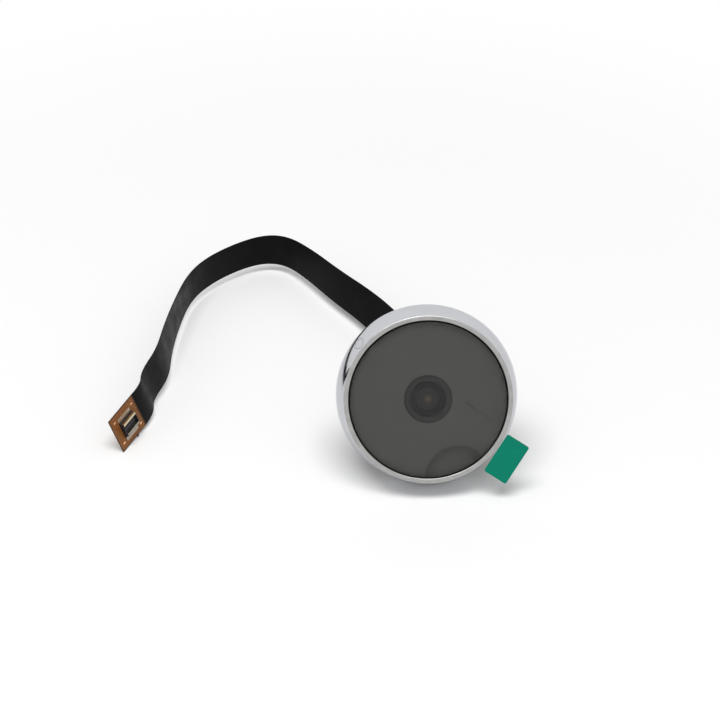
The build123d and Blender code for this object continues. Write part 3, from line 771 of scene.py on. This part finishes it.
class SCENE_OT_camera_cable(bpy.types.Operator):
    """Add the flat cable along its route"""

    bl_idname = "door_camera.cable"
    bl_label = "Flat cable"

    def execute(self, context):
        sizes = context.scene.door_camera_cable
        exit_point = OPTICAL_AXIS * PLUG_FACE
        second = OPTICAL_AXIS * (PLUG_FACE - FIRST_RUN)
        knots = [exit_point, second]
        knots += [on_floor_route(x, y, z) for x, y, z, _ in CABLE_ROUTE]
        leans = [FLAT_LEAN, FLAT_LEAN] + [row[3] for row in CABLE_ROUTE]
        path = spline_through("cable_line", knots)
        lean_line = spline_through("lean_line", [(lean, 0, k) for k, lean in enumerate(leans)])

        half_width, half_thickness = sizes.width / 2, sizes.thickness / 2
        nick = half_thickness * CABLE_NICK_SHARE
        lower = [
            (-half_width, nick - half_thickness),
            (nick - half_width, -half_thickness),
            (0, -half_thickness),
            (half_width - nick, -half_thickness),
            (half_width, nick - half_thickness),
        ]
        section = lower + [(-offset, -depth) for offset, depth in lower]
        vertices, faces, places = [], [], []
        run = 0.0
        for k, point in enumerate(path):
            heading = (path[min(k + 1, len(path) - 1)] - path[max(k - 1, 0)]).normalized()
            across = width_direction(heading, lean_line[k].x)
            through = across.cross(heading)
            if k:
                run += (point - path[k - 1]).length
            for offset, depth in section:
                vertices.append(point + across * offset + through * depth)
                places.append((offset / sizes.width + 0.5, run / sizes.width))
        sides = len(section)
        last = (len(path) - 1) * sides
        for low in range(0, last, sides):
            high = low + sides
            for side in range(sides):
                after = (side + 1) % sides
                faces.append((low + side, low + after, high + after, high + side))
        faces.append(tuple(reversed(range(sides))))
        faces.append(tuple(range(last, last + sides)))
        mesh = bpy.data.meshes.new("flat_cable")
        mesh.from_pydata(vertices, [], faces)
        layer = mesh.uv_layers.new(name="UVMap")
        for loop in mesh.loops:
            layer.data[loop.index].uv = places[loop.vertex_index]
        cable = bpy.data.objects.new("flat_cable", mesh)
        context.scene.collection.objects.link(cable)
        recalculate(cable)
        bpy.ops.object.shade_smooth_by_angle(angle=SMOOTH_ANGLE)
        dress(cable, cable_finish(sizes))
        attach(cable, "camera")
        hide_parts("flex_cable")
        connector = context.scene.door_camera_connector
        carried = [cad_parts[name] for name in CONNECTOR_NODES]
        carried += [wall_contacts(connector), highlight_cap(connector)]
        return {"FINISHED"}


# Housing


def chrome_finish(sizes):
    """Bright plating with faint haze and hairline wear, and a rougher lip with painted shade."""
    finish = new_finish("chrome_plating", sizes.chrome, sizes.roughness, metallic=1.0)
    show(finish, "Specular Tint", (0.80, 0.80, 0.82, 1))
    where = place(finish, turned=True)
    apart = put(finish, "ShaderNodeSeparateXYZ", Vector=where)
    # The lip is the same plating, made rougher, with painted shade: a darker colour
    on_lip = spread(finish, apart.outputs["Z"], LIP_TOP - LIP_BLEND, LIP_TOP - LIP_BLEND / 6)
    bright = mottled(finish, where, sizes.chrome, 90, 0.97, 1.03)
    satin_and_shade = mottled(finish, where, sizes.lip_shade_tone, 420, 0.9, 1.12, 5.0)
    show(finish, "Base Color", blend(finish, on_lip, bright, satin_and_shade))
    wear = patches(finish, where, 260, 0.7, 1.5, 5.0)
    gloss = result(finish, "MULTIPLY", wear, sizes.roughness)
    satin_gloss = result(finish, "MULTIPLY", on_lip, 0.22)
    show(finish, "Roughness", result(finish, "ADD", gloss, satin_gloss))
    grain(finish, noise(finish, where, 900), 0.04, 0.0001)
    return finish


def wall_radius(sizes, share):
    """Radius of the housing's side at a share of its height."""
    run_in = RIM_RADIUS - sizes.lip_radius
    return RIM_RADIUS - run_in * share + 4 * share * (1 - share) * sizes.side_bulge


class SCENE_OT_camera_housing(bpy.types.Operator):
    """Add the chrome housing with its rolled side, lip and faint ring mark"""

    bl_idname = "door_camera.housing"
    bl_label = "Housing"

    def execute(self, context):
        sizes = context.scene.door_camera_housing
        low, high = RIM_CONTACT, LIP_TOP - sizes.edge
        rise, wall_steps = high - low, 18
        wall = []
        for step in range(1, wall_steps):
            share = step / wall_steps
            wall.append((wall_radius(sizes, share), low + rise * share, 0))
        outline = wall + [
            (sizes.lip_radius, LIP_TOP, sizes.edge * 0.7),
            (sizes.bore_radius, LIP_TOP, sizes.edge / 2),
            (sizes.bore_radius, LEDGE_TOP, 0),
            (LEDGE_BORE, LEDGE_TOP, 0),
            (LEDGE_BORE, LEDGE_BOTTOM, 0),
            (SHELL_BORE, LEDGE_BOTTOM, 0),
            (SHELL_BORE, PLATE_FRONT, 0),
            (PLATE_POCKET, PLATE_FRONT, 0),
            (PLATE_POCKET, SHELL_REAR, 0),
            (RIM_RADIUS, SHELL_REAR, sizes.edge),
        ]
        shell = turn("housing_shell", outline, steps=256)
        polish(shell, chrome_finish(sizes), "camera", "chrome_shell", "housing")

        clear_selection()
        bpy.ops.mesh.primitive_torus_add(
            major_radius=sizes.mark_radius,
            minor_radius=sizes.mark_line,
            major_segments=96,
            minor_segments=12,
        )
        mark = context.object
        mark.name = "housing_mark"
        for vertex in mark.data.vertices:
            share = MARK_SHARE + vertex.co.y * sizes.mark_stretch / rise
            radius = wall_radius(sizes, share) + vertex.co.z - sizes.mark_line * MARK_SUNK_SHARE
            angle = MARK_ANGLE + vertex.co.x / RIM_RADIUS
            height = low + rise * share
            vertex.co = Vector((radius * math.cos(angle), radius * math.sin(angle), height))
        lay_on_axis(mark)
        recalculate(mark)
        bpy.ops.object.shade_smooth()
        # The ring mark is sunk into the plating; its darker colour is painted shade
        painted_shade = moulded("mark_painted_shade_plating", (0.34, 0.35, 0.37), 0.45, metallic=1.0, share=0.05)
        dress(mark, painted_shade)
        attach(mark, "camera")
        return {"FINISHED"}


# Window and film


# The border's gap over the window, its top and its lap past the window's edge, and the print's
# gap under the window, its rear and how far it ends short of the window's edge
BORDER_GAP = 0.00002
BORDER_TOP = 0.00007
BORDER_LAP = 0.00008
PRINT_GAP = 0.000004
PRINT_REAR = 0.000018
PRINT_INSET = 0.00005


def window_finish(sizes):
    """Smoked, polished window that lets the lens show faintly."""
    finish, _ = even_finish("smoked_window", sizes.smoke, 0.04, (0.05, 60), (0.03, 0.07, 200))
    show(finish, "Alpha", sizes.opacity)
    return finish


class SCENE_OT_camera_window(bpy.types.Operator):
    """Add the smoked window, its black border and rear print, and finish the dark panel"""

    bl_idname = "door_camera.window"
    bl_label = "Window"

    def execute(self, context):
        sizes = context.scene.door_camera_window
        outline = [
            (0, WINDOW_REAR, 0),
            (sizes.radius, WINDOW_REAR, 0),
            (sizes.radius, WINDOW_FRONT, sizes.edge),
            (0, WINDOW_FRONT, 0),
        ]
        window = turn("smoked_window", outline)
        polish(window, window_finish(sizes), "camera", "smoked_glass", "front_window")

        low, high = WINDOW_FRONT + BORDER_GAP, WINDOW_FRONT + BORDER_TOP
        inner, outer = sizes.radius - sizes.border_width, sizes.radius + BORDER_LAP
        border = turn("window_border", washer(inner, outer, low, high, BORDER_GAP))
        tone = (0.004, 0.004, 0.004)
        dark, _ = even_finish("border_black", tone, 0.6, (0.4, 300), (0.5, 0.7, 500), ior=1.15)
        polish(border, dark, "camera", "adhesive")

        low, high = WINDOW_REAR - PRINT_REAR, WINDOW_REAR - PRINT_GAP
        mask = turn("window_print", washer(sizes.print_hole, sizes.radius - PRINT_INSET, low, high))
        grey = moulded("print_grey", sizes.panel, 0.6, share=0.03, strength=0.05)
        polish(mask, grey, "camera", "dark_panel")
        dress(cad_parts["ir_panel"], moulded("dark_panel", sizes.panel, 0.5, share=0.04))
        dress_nodes({"window_adhesive": ("adhesive_black", (0.02, 0.02, 0.02), 0.6)})
        return {"FINISHED"}


# Where the film's painted shade lies in the window's plane: the lifted patch's round edge and
# the crease
PATCH_MIDDLE = Vector((0.0090, -0.0246, 0))
PATCH_RADIUS = 0.0104
PATCH_EDGE = 0.97
PATCH_SHADE_SIDE = Vector((0.5, 0.866, 0))
CREASES = [
    (Vector((0.0113, -0.0008, 0)), Vector((0.0208, -0.0080, 0)), 1.0),
    (Vector((0.0021, -0.0114, 0)), Vector((0.0052, -0.0142, 0)), 0.35),
]

# Half a crease's width, in full and faded out, and how long its start and its end are
CREASE_CORE = 0.00004
CREASE_EDGE = 0.00017
CREASE_START = 0.0006
CREASE_END = 0.0008

# The film over the window, how wide its flatter edge is where it lifts, and its ear under the
# pull tab: where it starts, climbs and ends
FILM_GAP = 0.00001
LIFT_EDGE = 0.0015
TAB_ANGLE = math.radians(-38.2)
EAR_START = 0.0237
EAR_END = 0.031
EAR_WIDTH = 0.0126
EAR_THICKNESS = 0.00008
EAR_GAP = 0.00002
EAR_CLIMB_START = 0.0238
EAR_CLIMB_RUN = 0.0008
EAR_CLIMB_RISE = 0.00009


def crease_line(finish, flat, start, end):
    """A thin line that is darkest at its start, from 0 to 1."""
    along = (end - start).normalized()
    aside = Vector((-along.y, along.x, 0))
    off_line = result(finish, "ABSOLUTE", past(finish, flat, start, aside))
    run = past(finish, flat, start, along)
    reach = (end - start).length
    line = spread(finish, off_line, CREASE_CORE, CREASE_EDGE, 1.0, 0.0)
    for share in (
        spread(finish, run, 0.0, CREASE_START),
        spread(finish, run, 0.001, 0.005, 1.0, 0.35),
        spread(finish, run, reach, reach + CREASE_END, 1.0, 0.0),
    ):
        line = result(finish, "MULTIPLY", line, share)
    return line


def film_finish(sizes):
    """Clear film, a light haze, and painted shade: a darker arc where it lifts and a thin crease.
    """
    finish = new_finish("film_clear", sizes.haze, 0.2)
    where = place(finish, turned=True)
    flat = in_plane(finish, where)
    reach = vector_of(finish, "DISTANCE", flat, PATCH_MIDDLE).outputs["Value"]
    toward = past(finish, flat, PATCH_MIDDLE, PATCH_SHADE_SIDE)
    # Painted shade: a darker arc inside the lifted patch's edge, darkest towards one side
    dark = sizes.shade_share
    for value, low, high, out_low, out_high in (
        (reach, 0.6, PATCH_EDGE, 0.12, 1.0),
        (reach, PATCH_EDGE, 1.03, 1.0, 0.0),
        (toward, -0.4, 0.8, 0.7, 1.0),
    ):
        low, high = low * PATCH_RADIUS, high * PATCH_RADIUS
        share = spread(finish, value, low, high, out_low, out_high, smooth=True)
        dark = result(finish, "MULTIPLY", share, dark)
    # Painted shade along each crease
    for start, end, share in CREASES:
        crease = crease_line(finish, flat, start, end)
        crease = result(finish, "MULTIPLY", crease, sizes.crease_shade_share * share)
        dark = result(finish, "MAXIMUM", dark, crease)
    haze = patches(finish, where, 70, sizes.haze_share * 0.9, sizes.haze_share * 1.1)
    cover = result(finish, "ADD", haze, dark)
    shade_part = result(finish, "DIVIDE", dark, cover)
    # Where the painted shade covers, the film turns near black
    show(finish, "Base Color", blend(finish, shade_part, sizes.haze, (0.01, 0.01, 0.01)))
    show(finish, "Alpha", cover)
    grain(finish, noise(finish, where, 400), 0.05, 0.0001)
    return finish


class SCENE_OT_camera_film(bpy.types.Operator):
    """Add the protective film with its ear, and finish the green pull tab"""

    bl_idname = "door_camera.film"
    bl_label = "Film and tab"

    def execute(self, context):
        sizes = context.scene.door_camera_film
        under, rings = WINDOW_FRONT + FILM_GAP, 40
        outline = [(0, under, 0)]
        outline += [(sizes.radius * k / rings, under, 0) for k in range(1, rings + 1)]
        outline += [(sizes.radius * k / rings, LIP_TOP, 0) for k in range(rings, 0, -1)]
        outline += [(0, LIP_TOP, 0)]
        film = turn("film_disc", outline)
        for vertex in film.data.vertices:
            flat = Vector((vertex.co.x, vertex.co.y, 0))
            depth = (flat - PATCH_MIDDLE).length / PATCH_RADIUS
            rise = max(0.0, 1 - depth) ** 0.5 if depth < 1 else 0.0
            edge = min(1.0, max(0.0, (sizes.radius - flat.length) / LIFT_EDGE))
            vertex.co.z += sizes.lift * min(rise * 1.6, 1.0) * (0.35 + 0.65 * edge)
        polish(film, film_finish(sizes), "film", "clear_film", "protective_film")

        clear_selection()
        bpy.ops.mesh.primitive_grid_add(x_subdivisions=44, y_subdivisions=24, size=1)
        ear = context.object
        ear.name = "film_ear"
        for vertex in ear.data.vertices:
            radius = EAR_START + (EAR_END - EAR_START) * (vertex.co.x + 0.5)
            climb = min(1.0, max(0.0, (radius - EAR_CLIMB_START) / EAR_CLIMB_RUN))
            height = LIP_TOP + EAR_GAP + EAR_CLIMB_RISE * climb * climb * (3 - 2 * climb)
            vertex.co = Vector((radius, vertex.co.y * EAR_WIDTH, height))
        solid = ear.modifiers.new("thickness", "SOLIDIFY")
        solid.thickness = EAR_THICKNESS
        solid.offset = 1
        bpy.ops.object.modifier_apply(modifier="thickness")
        ear.data.transform(Matrix.Rotation(TAB_ANGLE, 4, "Z"))
        plain, _ = even_finish("ear_clear", sizes.haze, 0.15, (0.1, 300), (0.1, 0.25, 400))
        show(plain, "Alpha", sizes.haze_share * 2)
        polish(ear, plain, "film", "clear_film")

        tone = sizes.tab_colour
        tab, where = even_finish("tab_green", tone, 0.5, (0.05, 180), (0.42, 0.6, 500), ior=1.2)
        grain(tab, noise(tab, where, 3000), 0.12, 0.00008)
        dress(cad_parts["pull_tab"], tab)
        return {"FINISHED"}


# Lens


def from_axis(finish, where):
    """Distance from the optical axis."""
    return vector_of(finish, "LENGTH", in_plane(finish, where)).outputs["Value"]


def soft_black(name, tint):
    """A dull black part that shines very little."""
    return even_finish(name, tint, 0.6, (0.05, 150), (0.5, 0.7, 220), ior=1.2)


def collar_finish(sizes):
    """Dull rubber that is darker towards its outer edge."""
    finish, where = soft_black("collar_rubber", sizes.collar)
    radius = from_axis(finish, where)
    edge = spread(finish, radius, 0.0067, 0.0073, 0.0, 1.0, smooth=True)
    tone = mottled(finish, where, sizes.collar, 400, 0.94, 1.06)
    show(finish, "Base Color", blend(finish, edge, tone, sizes.barrel))
    return finish


def lens_glass_finish(sizes):
    """Dark coated glass, with painted highlights: faint rings and a warm glint in its middle."""
    finish = new_finish("lens_glass", sizes.glass, 0.03, ior=1.3)
    where = place(finish, turned=True)
    radius = from_axis(finish, where)
    # Painted highlights: lighter rings round the axis, and a warm glint in the middle
    turns = result(finish, "MULTIPLY", radius, FULL_TURN / sizes.ring_pitch)
    rings = spread(finish, result(finish, "SINE", turns), 0.6, 1.0)
    ringed = blend(finish, rings, sizes.glass, sizes.painted_ring_glint)
    middle = spread(finish, radius, 0.0, 0.0017, 0.8, 0.0, smooth=True)
    show(finish, "Base Color", blend(finish, middle, ringed, sizes.glint))
    scuff(finish, where, 0.02, 0.05, 600)
    return finish


class SCENE_OT_camera_lens(bpy.types.Operator):
    """Finish the lens barrel, its rings and glass, as seen through the window"""

    bl_idname = "door_camera.lens"
    bl_label = "Lens"

    def execute(self, context):
        sizes = context.scene.door_camera_lens
        glass = lens_glass_finish(sizes)
        for name in ("lens_front_glass", "lens_rear_glass"):
            dress(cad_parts[name], glass)
        dress(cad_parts["lens_barrel"], soft_black("barrel_black", sizes.barrel)[0])
        dress(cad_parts["lens_retaining_ring"], soft_black("ring_black", sizes.ring)[0])

        outline = [
            (sizes.collar_inner, COLLAR_REAR, 0),
            (sizes.collar_outer, COLLAR_REAR, 0),
            (sizes.collar_outer, COLLAR_FRONT - COLLAR_CHAMFER, 0),
            (sizes.collar_outer - COLLAR_CHAMFER, COLLAR_FRONT, 0.0001),
            (sizes.collar_lip, COLLAR_FRONT, 0.00012),
            (sizes.collar_lip, COLLAR_FRONT - COLLAR_LIP_DEPTH, 0),
            (sizes.collar_inner, COLLAR_FRONT - COLLAR_LIP_ROOT, 0),
        ]
        collar = turn("light_collar_ring", outline)
        polish(collar, collar_finish(sizes), "camera", "collar_rubber", "light_collar")
        return {"FINISHED"}


# Connector


def board_finish(sizes):
    """Amber film board: buried copper under a tinted cover, with darker borders."""
    finish = new_finish("board_amber", sizes.amber, 0.32, ior=1.3)
    where = place(finish)
    copper = put(
        finish,
        "ShaderNodeTexBrick",
        Vector=where,
        Scale=420.0,
        Color1=(0.34, 0.13, 0.035, 1),
        Color2=(0.25, 0.09, 0.022, 1),
        Mortar=(0.10, 0.032, 0.008, 1),
        Mortar_Size=0.03,
    )
    buried = spread(finish, noise(finish, where, 380), 0.35, 0.65)
    film = blend(finish, buried, sizes.amber, copper.outputs["Color"])
    end, along, down, _ = connector_frame()
    aside = result(finish, "ABSOLUTE", past(finish, where, end, down))
    run = past(finish, where, end, along)
    rim = spread(finish, aside, BOARD_HALF_WIDTH - BOARD_RIM, BOARD_HALF_WIDTH)
    for share in (
        spread(finish, run, BOARD_LENGTH - BOARD_END_RIM, BOARD_LENGTH),
        spread(finish, run, 0.0003, 0.0009, 0.9, 0.0),
    ):
        rim = result(finish, "MAXIMUM", rim, share)
    show(finish, "Base Color", blend(finish, rim, film, (0.035, 0.014, 0.006)))
    scuff(finish, where, 0.22, 0.42, 500)
    grain(finish, noise(finish, where, 2200), 0.15, 0.00005)
    return finish


class SCENE_OT_camera_connector(bpy.types.Operator):
    """Finish the connector at the cable's far end"""

    bl_idname = "door_camera.connector"
    bl_label = "Connector"

    def execute(self, context):
        sizes = context.scene.door_camera_connector
        dress(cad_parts["connector_board"], board_finish(sizes))
        dress_nodes(
            {
                "board_stiffener": ("stiffener_brown", (0.16, 0.07, 0.02), 0.5),
                "connector_shell": ("shell_black", (0.012, 0.012, 0.014), 0.4),
                "connector_contacts": ("contact_nickel", sizes.nickel, 0.3, 1.0),
                "connector_pads": ("pad_copper", sizes.copper, 0.3, 1.0),
            }
        )
        return {"FINISHED"}


# Door side: tube, plate, gasket, screws and plug


STEEL = (0.5, 0.5, 0.51)


class SCENE_OT_camera_tube(bpy.types.Operator):
    """Add the threaded tube"""

    bl_idname = "door_camera.tube"
    bl_label = "Threaded tube"

    def execute(self, context):
        sizes = context.scene.door_camera_tube
        root_radius = TUBE_RADIUS - sizes.depth
        thread_end = TUBE_CONTACT + sizes.thread_length
        flank = sizes.depth * math.tan(THREAD_FLANK)
        outline = [
            (TUBE_BORE, TUBE_END, 0.0001),
            (TUBE_TIP, TUBE_END, 0),
            (root_radius, TUBE_END + TUBE_TIP_SLOPE, 0),
            (root_radius, thread_end - flank, 0),
            (TUBE_RADIUS, thread_end, 0),
            (TUBE_RADIUS, TUBE_LAND_START, 0),
            (TUBE_LAND, TUBE_LAND_START, 0),
            (TUBE_LAND, TUBE_FLANGE_START, 0),
            (TUBE_FLANGE, TUBE_FLANGE_START, 0),
            (TUBE_FLANGE, PLATE_FRONT, 0),
            (TUBE_POCKET, PLATE_FRONT, 0),
            (TUBE_POCKET, TUBE_POCKET_FLOOR, 0),
            (TUBE_BORE, TUBE_POCKET_FLOOR, 0),
        ]
        tube = turn("threaded_tube_core", outline, steps=128)
        finish = moulded("tube_bright", sizes.metal, 0.28, metallic=1.0, share=0.06, fineness=1600)
        polish(tube, finish, "camera", "tube_metal", "threaded_tube")

        sunk = 0.00003
        start = TUBE_CONTACT - flank
        crest = sizes.pitch / 2 - flank
        profile = [
            (root_radius - sunk, start),
            (TUBE_RADIUS, start + flank),
            (TUBE_RADIUS, start + flank + crest),
            (root_radius - sunk, start + flank * 2 + crest),
        ]
        ridge = start_outline("tube_thread", profile)
        bpy.ops.object.mode_set(mode="OBJECT")
        screw = ridge.modifiers.new("thread", "SCREW")
        screw.axis = "Z"
        screw.angle = FULL_TURN
        screw.screw_offset = sizes.pitch
        screw.iterations = int(sizes.thread_length / sizes.pitch + 0.5)
        screw.steps = 96
        screw.render_steps = 96
        screw.use_merge_vertices = False
        bpy.ops.object.modifier_apply(modifier="thread")
        edit_all()
        bpy.ops.mesh.fill_holes(sides=4)
        recalculate(ridge)
        polish(ridge, finish, "camera", "tube_metal")
        return {"FINISHED"}


class SCENE_OT_camera_back(bpy.types.Operator):
    """Add the foam gasket and finish the back plate, screws and plug"""

    bl_idname = "door_camera.back"
    bl_label = "Door side"

    def execute(self, context):
        outline = [
            (GASKET_BORE, 0, 0.0002),
            (GASKET_RADIUS, 0, 0.0004),
            (GASKET_RADIUS, PLATE_REAR, 0),
            (GASKET_BORE, PLATE_REAR, 0),
        ]
        gasket = turn("foam_gasket", outline)
        for k in range(SCREW_COUNT):
            angle = math.radians(90) + FULL_TURN * k / SCREW_COUNT
            spot = (SCREW_CIRCLE * math.cos(angle), SCREW_CIRCLE * math.sin(angle), PLATE_REAR / 2)
            clear_selection()
            bpy.ops.mesh.primitive_cylinder_add(
                vertices=48, radius=SCREW_HOLE, depth=PLATE_REAR * 4, location=spot
            )
            cutter = context.object
            choose(gasket)
            cut = gasket.modifiers.new("hole", "BOOLEAN")
            cut.operation = "DIFFERENCE"
            cut.object = cutter
            cut.solver = "EXACT"
            bpy.ops.object.modifier_apply(modifier="hole")
            bpy.data.objects.remove(cutter)
        foam = new_finish("gasket_foam", (0.03, 0.03, 0.031), 0.95)
        where = place(foam)
        drift(foam, where, 0.35, 900)
        cells = put(foam, "ShaderNodeTexVoronoi", Vector=where, Scale=2600.0)
        grain(foam, cells.outputs["Distance"], 0.6, 0.0002)
        polish(gasket, foam, "camera", "gasket_foam", "door_gasket")

        dress_nodes(
            {
                "back_plate": ("plate_cast", (0.42, 0.43, 0.45), 0.45, 1.0),
                "plate_screws": ("screw_steel", STEEL, 0.3, 1.0),
            }
        )
        rubber = moulded("plug_rubber", (0.02, 0.02, 0.021), 0.7, strength=0.3)
        dress(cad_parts["cable_grommet"], rubber)
        return {"FINISHED"}


# Inside


INNER_FINISHES = {
    "camera_board": ("board_green", (0.01, 0.075, 0.03), 0.35),
    "board_screws": ("board_screw_steel", STEEL, 0.3, 1.0),
    "image_sensor": ("sensor_package", (0.03, 0.03, 0.05), 0.15),
    "ir_leds": ("lamp_package", (0.7, 0.7, 0.62), 0.3),
    "light_sensor": ("light_sensor_package", (0.05, 0.05, 0.06), 0.2),
    "video_chip": ("chip_black", (0.02, 0.02, 0.021), 0.5),
    "capacitors": ("capacitor_ceramic", (0.36, 0.24, 0.14), 0.4),
    "flex_socket": ("socket_plastic", (0.6, 0.58, 0.5), 0.4),
    "lens_holder": ("holder_plastic", (0.02, 0.02, 0.02), 0.5),
    "holder_screws": ("holder_screw_steel", STEEL, 0.3, 1.0),
    "ir_filter": ("filter_glass", (0.25, 0.45, 0.5), 0.05),
}


class SCENE_OT_camera_inside(bpy.types.Operator):
    """Finish the parts inside the housing"""

    bl_idname = "door_camera.inside"
    bl_label = "Inside"

    def execute(self, context):
        dress_nodes(INNER_FINISHES)
        tail = cable_finish(context.scene.door_camera_cable)
        tail.name = "tail_cover"
        dress(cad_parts["flex_tail"], tail)
        return {"FINISHED"}


class VIEW3D_PT_door_camera(bpy.types.Panel):
    """Door camera pieces"""

    bl_label = "Door Camera"
    bl_idname = "VIEW3D_PT_door_camera"
    bl_space_type = "VIEW_3D"
    bl_region_type = "UI"
    bl_category = "Door Camera"

    def draw(self, context):
        for group, (kind, operators) in GROUPS.items():
            box = self.layout.box()
            for name in kind.__annotations__:
                box.prop(getattr(context.scene, group), name)
            for operator in operators:
                box.operator(operator.bl_idname)


# Each group of settings, with its class and the operators that the panel lists under it
GROUPS = {
    "door_camera_stage": (StageSettings, [SCENE_OT_camera_stage]),
    "door_camera_cable": (CableSettings, [SCENE_OT_camera_cable, SCENE_OT_camera_inside]),
    "door_camera_housing": (HousingSettings, [SCENE_OT_camera_housing]),
    "door_camera_window": (WindowSettings, [SCENE_OT_camera_window]),
    "door_camera_film": (FilmSettings, [SCENE_OT_camera_film]),
    "door_camera_lens": (LensSettings, [SCENE_OT_camera_lens]),
    "door_camera_connector": (ConnectorSettings, [SCENE_OT_camera_connector]),
    "door_camera_tube": (TubeSettings, [SCENE_OT_camera_tube, SCENE_OT_camera_back]),
}


def classes():
    """All that is registered: each group's settings and operators, and the panel."""
    kinds = []
    for settings, operators in GROUPS.values():
        kinds += [settings, *operators]
    return [*kinds, VIEW3D_PT_door_camera]


def register():
    for kind in classes():
        bpy.utils.register_class(kind)
    for group, (settings, _) in GROUPS.items():
        setattr(bpy.types.Scene, group, bpy.props.PointerProperty(type=settings))


def unregister():
    for group in GROUPS:
        delattr(bpy.types.Scene, group)
    for kind in reversed(classes()):
        bpy.utils.unregister_class(kind)


def main():
    register()
    bpy.ops.door_camera.stage()
    bpy.ops.door_camera.cable()
    bpy.ops.door_camera.housing()
    bpy.ops.door_camera.window()
    bpy.ops.door_camera.film()
    bpy.ops.door_camera.lens()
    bpy.ops.door_camera.connector()
    bpy.ops.door_camera.tube()
    bpy.ops.door_camera.back()
    bpy.ops.door_camera.inside()


if __name__ == "__main__":
    main()
